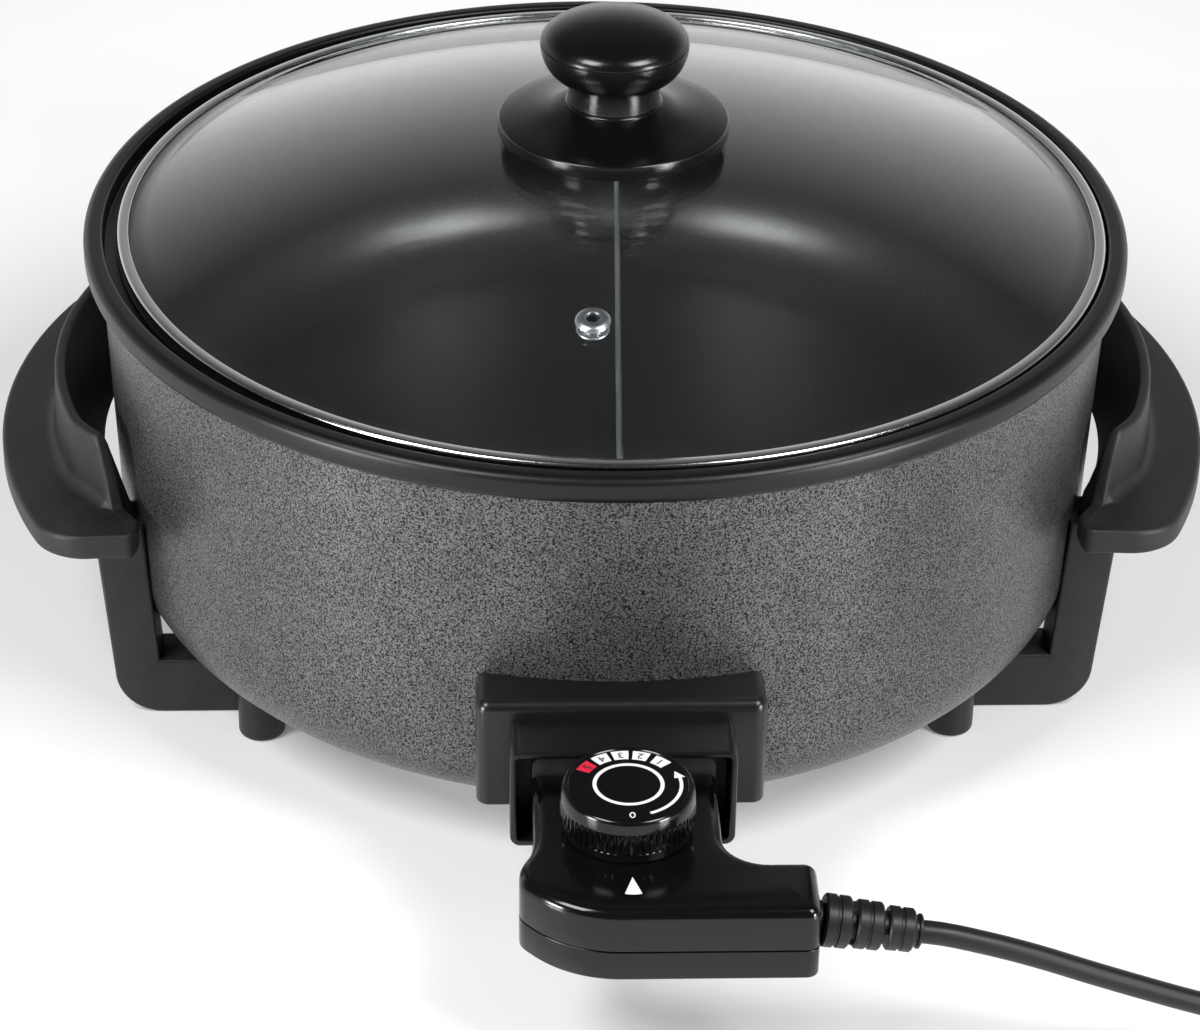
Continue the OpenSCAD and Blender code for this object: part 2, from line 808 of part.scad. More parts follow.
module leg_screws() {
    color("#b9bdc0")
        at_pan()
            for (x = [-1, 1], y = [-1, 1])
                translate([x * leg_screw_x, y * leg_mid_y, 0]) {
                    translate([0, 0, under_z - 6 - leg_head_h])
                        cylinder(h = leg_head_h, r = leg_head_r);
                    translate([0, 0, under_z - 6])
                        cylinder(h = 6 + leg_screw_in, r = leg_screw_r);
                }
}

module foot() {
    difference() {
        translate([foot_x, -foot_y, 0])
            rotate_extrude()
                polygon(concat(
                    [[0, 0]],
                    arc([foot_r - foot_round, foot_round], foot_round, -90, 0, 4),
                    [[foot_r, under_z], [0, under_z]]));
        pan_blank(fit_gap);
    }
}

module front_right_foot() {
    color("#26272a")
        at_pan()
            foot();
}

module front_left_foot() {
    color("#26272a")
        at_pan()
            mirror([1, 0, 0])
                foot();
}

module rear_right_foot() {
    color("#26272a")
        at_pan()
            mirror([0, 1, 0])
                foot();
}

module rear_left_foot() {
    color("#26272a")
        at_pan()
            rotate([0, 0, 180])
                foot();
}

// Places a piece on the glass where the vent is, square to the dome
module at_vent() {
    translate([0, 0, dome_c])
        rotate([0, vent_tilt, vent_turn])
            translate([0, 0, dome_r])
                children();
}

module lid_glass() {
    color("#dfeaee", 0.35)
        at_lid()
            difference() {
                rotate_extrude($fn = 180)
                    polygon(concat(
                        [for (i = [0 : 20])
                            let (r = dome_edge_r * i / 20)
                            [r, dome_z(r)]],
                        [[glass_r, glass_edge_z], [glass_r, glass_low_z]],
                        [for (i = [20 : -1 : 0])
                            let (r = dome_in_edge_r * i / 20)
                            [r, dome_in_z(r)]]));
                translate([0, 0, dome_z(0) - 10])
                    cylinder(h = 20, r = knob_hole_r);
                at_vent()
                    translate([0, 0, -10])
                        cylinder(h = 20, r = vent_neck_r + fit_gap);
            }
}

module lid_ring() {
    color("#c8ccd0")
        at_lid()
            rotate_extrude($fn = 180)
                polygon([
                    [lid_r - ring_w, seat_z], [lid_r, seat_z],
                    [lid_r, seat_z + ring_h], [lid_r - ring_w, seat_z + ring_h],
                    [lid_r - ring_w, seat_z + ring_h - ring_t], [lid_r - ring_t, seat_z + ring_h - ring_t],
                    [lid_r - ring_t, seat_z + ring_t], [lid_r - ring_w, seat_z + ring_t]]);
}

module vent_eyelet() {
    color("#d5d8da")
        at_lid()
            at_vent()
                rotate_extrude()
                    polygon([
                        [vent_hole_r, 1.8], [vent_r - 1.2, 1.8], [vent_r - 0.3, 1.2], [vent_r, 0.1],
                        [vent_neck_r, 0.1], [vent_neck_r, -glass_t - 0.1], [vent_r - 0.4, -glass_t - 0.1],
                        [vent_r - 0.4, -glass_t - 1.1], [vent_hole_r, -glass_t - 1.1]]);
}

module knob_base() {
    color("#0f1011")
        at_lid()
            difference() {
                rotate_extrude($fn = 96)
                    polygon(concat(
                        [[knob_hole_r, knob_edge_z - 3], [knob_base_r - 9, knob_edge_z - 3]],
                        [[knob_base_r - 8, knob_edge_z + knob_lift]],
                        [[knob_base_r - 0.8, knob_edge_z + knob_lift]],
                        [[knob_base_r, knob_edge_z + knob_lift + 1.6]],
                        arc([knob_base_r - 1.6, knob_side_z - 1.6], 1.6, 0, 75, 5),
                        [[knob_foot_r, knob_neck_z], [knob_hole_r, knob_neck_z]]));
                translate([0, 0, dome_c])
                    sphere(dome_r + knob_gap, $fn = 200);
            }
}

module knob_grip() {
    color("#0f1011")
        at_lid()
            difference() {
                rotate_extrude($fn = 96)
                    polygon(concat(
                        [[0, knob_neck_z], [knob_foot_r, knob_neck_z], [knob_foot_r, knob_neck_z + 0.8]],
                        [[knob_neck_r, knob_neck_z + 1.4]],
                        [for (i = [0 : 8])
                            let (a = 90 * i / 8, in = knob_neck_r - 0.5)
                            [in + (knob_ball_r - in) * sin(a), knob_mid_z - knob_ball_low * cos(a)]],
                        [for (i = [1 : 10])
                            let (a = 90 * i / 10)
                            [knob_ball_r * cos(a), knob_mid_z + knob_ball_top * sin(a)]]));
                translate([0, 0, knob_neck_z - 1])
                    cylinder(h = knob_bore + 1, r = knob_screw_r + fit_gap);
            }
}

module knob_seal() {
    color("#2a2b2d")
        at_lid()
            translate([0, 0, seal_z])
                difference() {
                    cylinder(h = seal_t, r = seal_r);
                    translate([0, 0, -1])
                        cylinder(h = seal_t + 2, r = knob_hole_r);
                }
}

module knob_washer() {
    color("#c8ccd0")
        at_lid()
            translate([0, 0, seal_z - washer_t])
                difference() {
                    cylinder(h = washer_t, r = seal_r - 1);
                    translate([0, 0, -1])
                        cylinder(h = washer_t + 2, r = knob_screw_r + fit_gap);
                }
}

module knob_screw() {
    head_z = seal_z - washer_t;
    color("#b9bdc0")
        at_lid() {
            translate([0, 0, head_z])
                cylinder(h = knob_neck_z + knob_bore - 1 - head_z, r = knob_screw_r);
            difference() {
                translate([0, 0, head_z - knob_head_h])
                    cylinder(h = knob_head_h, r = knob_head_r);
                for (a = [0, 90])
                    rotate([0, 0, a])
                        translate([-3, -0.5, head_z - knob_head_h - 1])
                            cube([6, 1, 2.2]);
            }
        }
}

module divider_plate() {
    color("#9a9ea2")
        at_pan()
            rotate([0, 0, div_turn])
                translate([div_off, 0, cook_z + div_t / 2 * sin(div_lean)])
                    rotate([0, -div_lean, 0])
                        rotate([90, 0, 90])
                            linear_extrude(div_t, center = true)
                                polygon(concat(
                                    arc([div_corner_r - div_half, div_corner_r], div_corner_r, 180, 270, 10),
                                    arc([div_half - div_corner_r, div_corner_r], div_corner_r, -90, 0, 10),
                                    arc([div_half - div_top_r, div_h - div_top_r], div_top_r, 0, 90, 5),
                                    arc([div_top_r - div_half, div_h - div_top_r], div_top_r, 90, 180, 5)));
}

// Outline of the controller seen from above, moved inwards by d and open at the nose when it is
module ctl_plan(d) {
    difference() {
        union() {
            translate([d - nose_w / 2, d - front_y])
                square([nose_w - 2 * d, front_y - shell_back_y - d + (d > 0 ? 1 : 0)]);
            translate([d - body_left, d - front_y])
                square([body_left + arm_x - 2 * d, arm_d - 2 * d]);
            difference() {
                translate([nose_w / 2 - d - 1, -arm_y - d - 1])
                    square(flare_r + d + 1);
                translate([nose_w / 2 + flare_r, flare_r - arm_y])
                    circle(flare_r + d);
            }
            difference() {
                translate([-nose_w / 2 - left_flare_r, -arm_y - d - 1])
                    square(left_flare_r + d + 1);
                translate([-nose_w / 2 - left_flare_r, left_flare_r - arm_y])
                    circle(left_flare_r + d);
            }
        }
        difference() {
            translate([-body_left - 10, -front_y - 10])
                square([body_left + 10 + corner_cx, 10 + front_corner_r]);
            translate([corner_cx, front_corner_r - front_y])
                circle(front_corner_r - d);
        }
    }
}

module relief_hole() {
    translate([arm_x - shell_t - 5, -relief_y, relief_z])
        rotate([0, 90, 0])
            cylinder(h = 20, r = relief_neck_r + fit_gap);
}

module controller_top() {
    color("#0f1011")
        at_pan()
            difference() {
                union() {
                    difference() {
                        translate([0, 0, split_z])
                            linear_extrude(shell_top - split_z)
                                ctl_plan(0);
                        translate([0, 0, split_z - 1])
                            linear_extrude(shell_top - shell_t - split_z + 1)
                                ctl_plan(shell_t);
                    }
                    for (p = shell_screws_at)
                        translate([p[0], p[1], split_z])
                            cylinder(h = shell_top - shell_t / 2 - split_z, r = boss_r);
                    translate([0, -dial_y, shell_top - shell_t - 2])
                        cylinder(h = 3, r = shaft_r + 2);
                }
                for (p = shell_screws_at)
                    translate([p[0], p[1], split_z - 1])
                        cylinder(h = shell_top - shell_t - 1 - split_z, r = shell_screw_r + fit_gap);
                translate([0, -dial_y, split_z])
                    cylinder(h = 40, r = shaft_r + run_gap);
                relief_hole();
            }
}

module controller_bottom() {
    color("#0f1011")
        at_pan()
            difference() {
                union() {
                    difference() {
                        translate([0, 0, shell_z])
                            linear_extrude(split_h)
                                ctl_plan(0);
                        translate([0, 0, shell_z + shell_t])
                            linear_extrude(split_h)
                                ctl_plan(shell_t);
                    }
                    for (p = shell_screws_at)
                        translate([p[0], p[1], shell_z + shell_t / 2])
                            cylinder(h = split_h - shell_t / 2, r = boss_r);
                }
                for (p = shell_screws_at) {
                    translate([p[0], p[1], shell_z - 1])
                        cylinder(h = split_h + 2, r = shell_screw_r + fit_gap);
                    translate([p[0], p[1], shell_z - 1])
                        cylinder(h = shell_head_h + 1.3, r = shell_head_r + fit_gap);
                }
                relief_hole();
            }
}

module shell_screws() {
    color("#b9bdc0")
        at_pan()
            for (p = shell_screws_at) {
                translate([p[0], p[1], shell_z + 0.3])
                    cylinder(h = shell_head_h, r = shell_head_r);
                translate([p[0], p[1], shell_z + 0.3])
                    cylinder(h = shell_top - shell_t - 3 - shell_z, r = shell_screw_r);
            }
}

module plug_block() {
    round_z = plug_z + plug_h - plug_round;
    len = plug_len + tongue_len + 2;
    color("#1d1e20")
        at_pan()
            difference() {
                union() {
                    translate([0, -shell_back_y, 0])
                        rotate([90, 0, 0])
                            mirror([0, 0, 1])
                                linear_extrude(plug_len)
                                    polygon(concat(
                                        [[-plug_half, plug_z], [plug_half, plug_z]],
                                        arc([plug_half - plug_round, round_z], plug_round, 0, 90, 5),
                                        arc([plug_round - plug_half, round_z], plug_round, 90, 180, 5)));
                    translate([-tongue_half, -shell_back_y - tongue_len, thermo_z + fit_gap])
                        cube([2 * tongue_half, tongue_len + 1, shell_h - 2 * shell_t - 2 * fit_gap]);
                }
                for (s = [-1, 1])
                    rod_y(s * pin_x, plug_back_y - 1, socket_z, len, contact_r + run_gap);
                rod_y(0, plug_back_y - 1, socket_z, len, probe_r + run_gap);
                translate([-earth_half - 0.5, -plug_back_y - 10, earth_z - 0.5])
                    cube([2 * earth_half + 1, 12, earth_t + 1]);
            }
}

module contact_sockets() {
    len = plug_len + tongue_len + contact_out - 0.5;
    color("#c8a850")
        at_pan()
            for (s = [-1, 1])
                difference() {
                    rod_y(s * pin_x, plug_back_y + 0.5, socket_z, len, contact_r);
                    rod_y(s * pin_x, plug_back_y - 1, socket_z, 12, pin_r + slide_gap);
                }
}

module probe() {
    tip_y = wall_r(socket_z) + 1.5 + probe_r;
    color("#b9bdc0")
        at_pan() {
            rod_y(0, tip_y, socket_z, shell_back_y + tongue_len + 1 - tip_y, probe_r);
            translate([0, -tip_y, socket_z])
                sphere(probe_r);
        }
}

module thermostat_base() {
    color("#d9d4c8")
        at_pan()
            translate([-thermo_half, -dial_y - thermo_front, thermo_z])
                cube([2 * thermo_half, thermo_front + thermo_back, thermo_h]);
}

module bimetal_strip() {
    color("#b87f4a")
        at_pan()
            translate([-3, -dial_y, thermo_top]) {
                translate([0, shaft_r + 4.6, 0])
                    cube([6, thermo_back - shaft_r - 5, 1]);
                translate([0, shaft_r + 1.2, 0.9])
                    cube([6, thermo_back - shaft_r - 1.6, 0.7]);
            }
}

module inner_wires() {
    color("#8c2f2f")
        at_pan()
            for (k = [0 : 2]) {
                y = 0.2 - relief_y + wire_step * k;
                start = [arm_x - shell_t - relief_flange_t - wire_gap, y, relief_z];
                mid = [thermo_half + 6.5 + wire_lane * k, y, wire_z];
                turn = [thermo_half + 2 + wire_lane * k, wire_stop_y + 4.5 * k, wire_z];
                stop = [thermo_half + wire_gap, turn[1], wire_z];
                tube([start, start - [5, 0, 0], mid, turn, stop], wire_r, 8);
            }
}

module strain_relief() {
    pitch = (relief_len - 1.6) / 3;
    color("#161719")
        at_pan() {
            translate([arm_x - shell_t - relief_flange_t, -relief_y, relief_z])
                rotate([0, 90, 0]) {
                    cylinder(h = relief_flange_t, r = relief_flange_r);
                    cylinder(h = relief_flange_t + shell_t + 1, r = relief_neck_r);
                }
            translate([arm_x, -relief_y, relief_z])
                rotate([0, 90 + relief_droop, 0]) {
                    cylinder(h = relief_len, r = relief_core_r);
                    for (i = [0 : 2])
                        translate([0, 0, 1.6 + pitch * i])
                            cylinder(h = pitch * 0.82, r = relief_r * (1 - 0.085 * i));
                }
        }
}

// Route of the coil: in and out again at a steady rate, climbing to the second layer where it turns back
coil_path = concat(
    [coil_start],
    [for (i = [0 : coil_rings * coil_loops])
        let (t = i / coil_rings,
            r = coil_r - coil_step * min(t, coil_loops - t),
            z = coil_z + coil_rise * ease(2 * (t - coil_loops / 2 + 0.25)))
        [coil_c[0] + r * sin(360 * t), coil_c[1] - r * cos(360 * t), z]],
    [coil_end]);

// Least distance between stretches of the coil that lie more than half a loop apart, less one cord's width
coil_least = min([for (i = [0 : len(coil_path) - 1], j = [i + coil_rings / 2 : 1 : len(coil_path) - 1])
    norm(coil_path[i] - coil_path[j])]) - 2 * cord_r;
echo(coil_least_gap = coil_least);

module cord_lead() {
    color("#141416")
        at_pan()
            tube(concat([relief_end, relief_end + 6 * relief_way], lead_way,
                [coil_start - [stub, 0, 0], coil_start]), cord_r, 10);
}

module cord_coil() {
    color("#141416")
        at_pan()
            tube(coil_path, cord_r, 6);
}

module cord_tail() {
    color("#141416")
        at_pan()
            tube(concat([coil_end, coil_end + [stub, 0, 0]], tail_way,
                [[plug_x, coil_lane, plug_r]]), cord_r, 10);
}

// Strap round the coil's cords, on the side away from the lead
module cord_tie() {
    color("#1a1a1c")
        at_pan()
            translate([coil_c[0] - tie_w / 2, coil_c[1] + coil_r - coil_step, coil_z + coil_rise / 2])
                rotate([90, 0, 90])
                    linear_extrude(tie_w)
                        difference() {
                            tie_outline(tie_half + tie_t, tie_round + tie_t);
                            tie_outline(tie_half, tie_round);
                        }
}

module tie_outline(half, r) {
    polygon([for (q = [0 : 3]) each arc((half - r) * [cos(90 * q + 45), sin(90 * q + 45)] * sqrt(2), r,
        90 * q, 90 * q + 90, 5)]);
}

module at_plug() {
    translate([plug_x, coil_lane, plug_r])
        rotate([0, 90, 0])
            children();
}

module plug_body() {
    full = plug_neck_len + plug_body_len;
    color("#141416")
        at_pan()
            at_plug()
                difference() {
                    rotate_extrude()
                        polygon([
                            [0, 0], [cord_r + 1.6, 0],
                            [cord_r + 3, plug_neck_len], [plug_r - 5, plug_neck_len + 3],
                            [plug_r, plug_neck_len + 9], [plug_r, full], [0, full]]);
                    for (s = [0, 180])
                        rotate([0, 0, s])
                            translate([plug_r - 3, -3.2, full - 16])
                                cube([5, 6.4, 17]);
                }
}

module plug_earth_clips() {
    full = plug_neck_len + plug_body_len;
    color("#c8ccd0")
        at_pan()
            at_plug()
                for (s = [0, 180])
                    rotate([0, 0, s])
                        translate([plug_r - 3, -3, full - 16])
                            cube([1.4, 6, 15]);
}

module plug_pins() {
    full = plug_neck_len + plug_body_len;
    color("#c8ccd0")
        at_pan()
            at_plug()
                for (s = [-1, 1])
                    translate([0, s * 9.5, full]) {
                        cylinder(h = plug_pin_len - 2.4, r = 2.4);
                        translate([0, 0, plug_pin_len - 2.4])
                            sphere(2.4);
                    }
}

module dial_knob() {
    color("#141416")
        at_pan()
            translate([0, -dial_y, 0])
                difference() {
                    union() {
                        translate([0, 0, shell_top + dial_lift])
                            cylinder(h = dial_foot_h, r = dial_r - 0.7, $fn = 96);
                        translate([0, 0, shell_top + dial_foot_h])
                            linear_extrude(dial_h - dial_foot_h - 1)
                                polygon([for (i = [0 : 4 * dial_grooves - 1])
                                    let (a = 90 * i / dial_grooves)
                                    (dial_r - (i % 4 > 1 ? 0.6 : 0)) * [cos(a), sin(a)]]);
                        translate([0, 0, dial_top - 1.2])
                            rotate_extrude($fn = 96)
                                polygon([
                                    [0, 0], [dial_r - 0.8, 0], [dial_r - 0.8, 0.4],
                                    [dial_r - 1.6, 1.2], [0, 1.2]]);
                    }
                    translate([0, 0, shell_top])
                        cylinder(h = 8.2, r = shaft_r + run_gap);
                }
}

module dial_shaft() {
    color("#b9bdc0")
        at_pan()
            translate([0, -dial_y, 0]) {
                translate([0, 0, thermo_top + 0.3])
                    cylinder(h = shell_top + 8 - thermo_top - 0.3, r = shaft_r);
                translate([0, 0, cam_z])
                    cylinder(h = 2, r = shaft_r + 3);
            }
}

pan_bowl();
cooking_plate();
heating_element();
element_clips();
socket_bracket();
socket_collar();
terminal_block();
terminal_pins();
earth_blade();
probe_sleeve();
weld_studs();
bracket_screws();
left_handle();
right_handle();
front_left_leg();
front_right_leg();
rear_left_leg();
rear_right_leg();
leg_screws();
front_left_foot();
front_right_foot();
rear_left_foot();
rear_right_foot();
lid_glass();
lid_ring();
vent_eyelet();
knob_base();
knob_grip();
knob_seal();
knob_washer();
knob_screw();
divider_plate();
controller_top();
controller_bottom();
plug_block();
contact_sockets();
probe();
thermostat_base();
bimetal_strip();
inner_wires();
shell_screws();
strain_relief();
cord_lead();
cord_coil();
cord_tail();
cord_tie();
plug_body();
plug_pins();
plug_earth_clips();
dial_knob();
dial_shaft();
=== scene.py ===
import math

import bmesh
import bpy
from mathutils import Matrix, Vector


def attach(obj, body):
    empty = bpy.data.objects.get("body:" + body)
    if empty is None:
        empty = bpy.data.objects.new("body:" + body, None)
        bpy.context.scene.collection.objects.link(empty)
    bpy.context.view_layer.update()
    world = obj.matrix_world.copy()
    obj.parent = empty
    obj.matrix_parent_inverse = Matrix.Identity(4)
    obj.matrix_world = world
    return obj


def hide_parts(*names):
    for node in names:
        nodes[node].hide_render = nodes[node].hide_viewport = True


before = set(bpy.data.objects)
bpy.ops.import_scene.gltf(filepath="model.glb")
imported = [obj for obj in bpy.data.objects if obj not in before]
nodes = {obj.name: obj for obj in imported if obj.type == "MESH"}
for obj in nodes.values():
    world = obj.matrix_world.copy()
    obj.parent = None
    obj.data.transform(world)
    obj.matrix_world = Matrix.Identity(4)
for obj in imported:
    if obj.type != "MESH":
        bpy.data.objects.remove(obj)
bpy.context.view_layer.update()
scene = bpy.context.scene

mm = 0.001
panAxisY = 41.05  # the pan's axis lies this far behind the part's origin; pieces are drawn about that axis, in mm


# Small helpers
def linear(hexColour):
    parts = [int(hexColour[i:i + 2], 16) / 255 for i in (1, 3, 5)]
    return [p / 12.92 if p <= 0.04045 else ((p + 0.055) / 1.055) ** 2.4 for p in parts] + [1.0]


def addNode(tree, kind, inputs=None, **settings):
    node = tree.nodes.new(kind)
    for name, value in settings.items():
        setattr(node, name, value)
    for socket, value in (inputs or {}).items():
        if isinstance(value, bpy.types.NodeSocket):
            tree.links.new(value, node.inputs[socket])
        else:
            node.inputs[socket].default_value = value
    return node


def startMaterial(name, colour, roughness, metallic=0.0, shine=None):
    material = bpy.data.materials.new(name)
    material.use_nodes = True
    tree = material.node_tree
    shader = tree.nodes["Principled BSDF"]
    shader.inputs["Base Color"].default_value = linear(colour)
    shader.inputs["Roughness"].default_value = roughness
    shader.inputs["Metallic"].default_value = metallic
    if shine is not None:
        shader.inputs["Specular IOR Level"].default_value = shine
    place = addNode(tree, "ShaderNodeTexCoord").outputs["Object"]
    return material, tree, shader, place


def perMm(size):
    return 1 / (size * mm)  # a pattern's scale on Object coordinates, from its size in mm


def noise(tree, place, size, detail):
    cloud = addNode(tree, "ShaderNodeTexNoise", {"Vector": place, "Scale": perMm(size), "Detail": detail})
    return cloud.outputs["Fac"]


def mixColour(tree, share, dark, pale):
    return addNode(tree, "ShaderNodeMix", {0: share, 6: linear(dark), 7: linear(pale)}, data_type="RGBA").outputs[2]


def setTint(tree, shader, share, dark, pale):
    tree.links.new(mixColour(tree, share, dark, pale), shader.inputs["Base Color"])


def setGloss(tree, shader, value, low, high):
    spread = addNode(tree, "ShaderNodeMapRange", {"Value": value, "To Min": low, "To Max": high})
    tree.links.new(spread.outputs[0], shader.inputs["Roughness"])


def setLift(tree, shader, height, strength, distance):
    bump = addNode(tree, "ShaderNodeBump", {"Height": height, "Strength": strength, "Distance": distance * mm})
    tree.links.new(bump.outputs[0], shader.inputs["Normal"])


def arcPoints(x, y, r, start, end, steps):
    turns = [math.radians(start + (end - start) * i / steps) for i in range(steps + 1)]
    return [(x + r * math.cos(a), y + r * math.sin(a)) for a in turns]


def cutCorners(points, rounds=3):
    for _ in range(rounds):  # each round trims every corner, so the line ends up smooth
        trimmed = [points[0]]
        for (ax, ay), (bx, by) in zip(points, points[1:]):
            trimmed += [(ax + (bx - ax) * t, ay + (by - ay) * t) for t in (0.25, 0.75)]
        points = trimmed + [points[-1]]
    return points


def ease(t):
    return (1 - math.cos(math.pi * min(1, max(0, t)))) / 2


def lathe(profile, steps, closed=False):
    bm = bmesh.new()
    verts = [bm.verts.new((r, 0, z)) for r, z in profile]
    edges = [bm.edges.new(pair) for pair in zip(verts, verts[1:])]
    if closed:
        edges.append(bm.edges.new((verts[-1], verts[0])))
    bmesh.ops.spin(bm, geom=verts + edges, cent=(0, 0, 0), axis=(0, 0, 1), angle=2 * math.pi, steps=steps,
                   use_merge=True)
    tidyMesh(bm)
    return bm


def tidyMesh(bm):
    bmesh.ops.remove_doubles(bm, verts=bm.verts, dist=0.0005)
    bmesh.ops.dissolve_degenerate(bm, edges=bm.edges, dist=0.0002)
    bmesh.ops.recalc_face_normals(bm, faces=bm.faces)


def slab(outline, low, high):
    bm = bmesh.new()
    base = bm.faces.new([bm.verts.new((x, y, low)) for x, y in outline])
    grown = bmesh.ops.extrude_face_region(bm, geom=[base])["geom"]
    bmesh.ops.translate(bm, vec=(0, 0, high - low), verts=[v for v in grown if isinstance(v, bmesh.types.BMVert)])
    bmesh.ops.recalc_face_normals(bm, faces=bm.faces)
    return bm


def softSlab(outline, low, high, lowRound, highRound, steps=6):
    bm = slab(outline, low + lowRound, high - highRound)
    for size, way in ((lowRound, -1), (highRound, 1)):  # each end is drawn in along a quarter circle
        face = next(f for f in bm.faces if f.normal.z * way > 0.9)
        for i in range(steps):
            a, b = (math.radians(90 * k / steps) for k in (i, i + 1))
            bmesh.ops.inset_region(bm, faces=[face], thickness=size * (math.cos(a) - math.cos(b)),
                                   depth=size * (math.sin(b) - math.sin(a)), use_even_offset=True, use_boundary=True)
    return bm


def bridged(rings):
    bm = bmesh.new()
    loops = []
    for ring in rings:
        verts = [bm.verts.new(p) for p in ring]
        loops.append([bm.edges.new(pair) for pair in zip(verts, verts[1:] + verts[:1])])
    return bm, loops


def carved(bm, cutter):
    meshes = []
    for part in (bm, cutter):
        mesh = bpy.data.meshes.new("carving")
        part.to_mesh(mesh)
        part.free()
        meshes.append(mesh)
    block, tool = (bpy.data.objects.new("carving", mesh) for mesh in meshes)
    for thing in (block, tool):
        scene.collection.objects.link(thing)
    cut = block.modifiers.new("cut", "BOOLEAN")
    cut.operation, cut.solver, cut.object = "DIFFERENCE", "EXACT", tool
    result = bpy.data.meshes.new_from_object(block.evaluated_get(bpy.context.evaluated_depsgraph_get()))
    for thing in (block, tool):
        bpy.data.objects.remove(thing)
    left = bmesh.new()
    left.from_mesh(result)
    for mesh in meshes + [result]:
        bpy.data.meshes.remove(mesh)
    return left


def softenEnds(bm, heights, size, segments):
    edges = [e for e in bm.edges if any(all(abs(v.co.z - z) < 0.01 for v in e.verts) for z in heights)]
    bmesh.ops.bevel(bm, geom=edges, offset=size, offset_type="OFFSET", segments=segments, profile=0.5,
                    affect="EDGES", clamp_overlap=False, material=-1)


def turned(bm, angle, axis):
    bmesh.ops.rotate(bm, cent=(0, 0, 0), matrix=Matrix.Rotation(math.radians(angle), 3, axis), verts=bm.verts)
    return bm


def joined(*parts):
    whole = bmesh.new()
    for part in parts:
        mesh = bpy.data.meshes.new("part")
        part.to_mesh(mesh)
        part.free()
        whole.from_mesh(mesh)
        bpy.data.meshes.remove(mesh)
    return whole


def makePiece(name, bm, finishes, body, slotName, *replaced, sharp=38):
    bmesh.ops.translate(bm, vec=(0, panAxisY, 0), verts=bm.verts)
    bmesh.ops.scale(bm, vec=(mm, mm, mm), verts=bm.verts)
    mesh = bpy.data.meshes.new(name)
    bm.to_mesh(mesh)
    bm.free()
    for finish in finishes:
        mesh.materials.append(finish)
    mesh.shade_smooth()
    mesh.set_sharp_from_angle(angle=math.radians(sharp))
    piece = bpy.data.objects.new(name, mesh)
    scene.collection.objects.link(piece)
    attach(piece, body)
    if replaced:
        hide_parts(*replaced)
    return piece


# Camera, fitted to the photograph
view = {"place": (-44.86, -1000.53, 674.39), "yaw": 0.0428, "pitch": 0.5511, "roll": -0.0173, "lens": 117.5}
forward = Vector((math.sin(view["yaw"]) * math.cos(view["pitch"]), math.cos(view["yaw"]) * math.cos(view["pitch"]),
                  -math.sin(view["pitch"])))
level = Vector((math.cos(view["yaw"]), -math.sin(view["yaw"]), 0))
under = forward.cross(level)
right = level * math.cos(view["roll"]) + under * math.sin(view["roll"])
down = under * math.cos(view["roll"]) - level * math.sin(view["roll"])
eye = bpy.data.cameras.new("productView")
eye.lens, eye.sensor_width, eye.sensor_fit = view["lens"], 36, "HORIZONTAL"
camera = bpy.data.objects.new("productView", eye)
facing = Matrix((right, -down, -forward)).transposed().to_4x4()
camera.matrix_world = Matrix.Translation(Vector(view["place"]) * mm) @ facing
scene.collection.objects.link(camera)
scene.camera = camera
print("camera placed")


# Finishes
# hammertone enamel on cast aluminium, sprayed and stoved: silver flake in a fine dark-veined grain, half gloss
hammertone, tree, shader, place = startMaterial("hammertoneEnamel", "#3a3b3d", 0.36, 0.7)
grain = addNode(tree, "ShaderNodeTexNoise", {"Vector": place, "Scale": perMm(0.52), "Detail": 1.0, "Roughness": 0.5,
                                             "Distortion": 0.3}).outputs["Fac"]
vein = addNode(tree, "ShaderNodeMapRange", {"Value": grain, "From Min": 0.36, "From Max": 0.62}).outputs[0]
shift = addNode(tree, "ShaderNodeMapRange", {"Value": noise(tree, place, 14, 2.0), "From Min": 0.3, "From Max": 0.7,
                                             "To Min": 0.9, "To Max": 1.06})
tone = addNode(tree, "ShaderNodeMix", {0: 1.0, 6: mixColour(tree, vein, "#040404", "#6a6a6a"), 7: shift.outputs[0]},
               data_type="RGBA", blend_type="MULTIPLY")
tree.links.new(tone.outputs[2], shader.inputs["Base Color"])
setGloss(tree, shader, vein, 0.4, 0.3)
setLift(tree, shader, grain, 0.35, 0.35)

# satin black enamel on the rolled rim: smooth, even, with a soft broad shine
satinEnamel, tree, shader, place = startMaterial("satinBlackEnamel", "#08090a", 0.34, shine=0.28)
haze = noise(tree, place, 2.5, 3.0)
setGloss(tree, shader, haze, 0.3, 0.42)
setLift(tree, shader, haze, 0.06, 0.1)

# sprayed PTFE non-stick inside: black film with a few pale mineral flecks, drawn large enough to show
nonStick, tree, shader, place = startMaterial("sprayedNonStick", "#08090a", 0.33, shine=0.75)
fleck = addNode(tree, "ShaderNodeTexVoronoi", {"Vector": place, "Scale": perMm(0.75)})
pick = addNode(tree, "ShaderNodeSeparateColor", {"Color": fleck.outputs["Color"]})
rare = addNode(tree, "ShaderNodeMapRange", {"Value": pick.outputs["Red"], "From Min": 0.8, "From Max": 1.0})
core = addNode(tree, "ShaderNodeMapRange", {"Value": fleck.outputs["Distance"], "From Min": 0.45, "From Max": 0.15})
both = addNode(tree, "ShaderNodeMath", {0: rare.outputs[0], 1: core.outputs[0]}, operation="MULTIPLY")
setTint(tree, shader, both.outputs[0], "#070707", "#4a4a4a")
setLift(tree, shader, noise(tree, place, 0.9, 1.0), 0.25, 0.15)

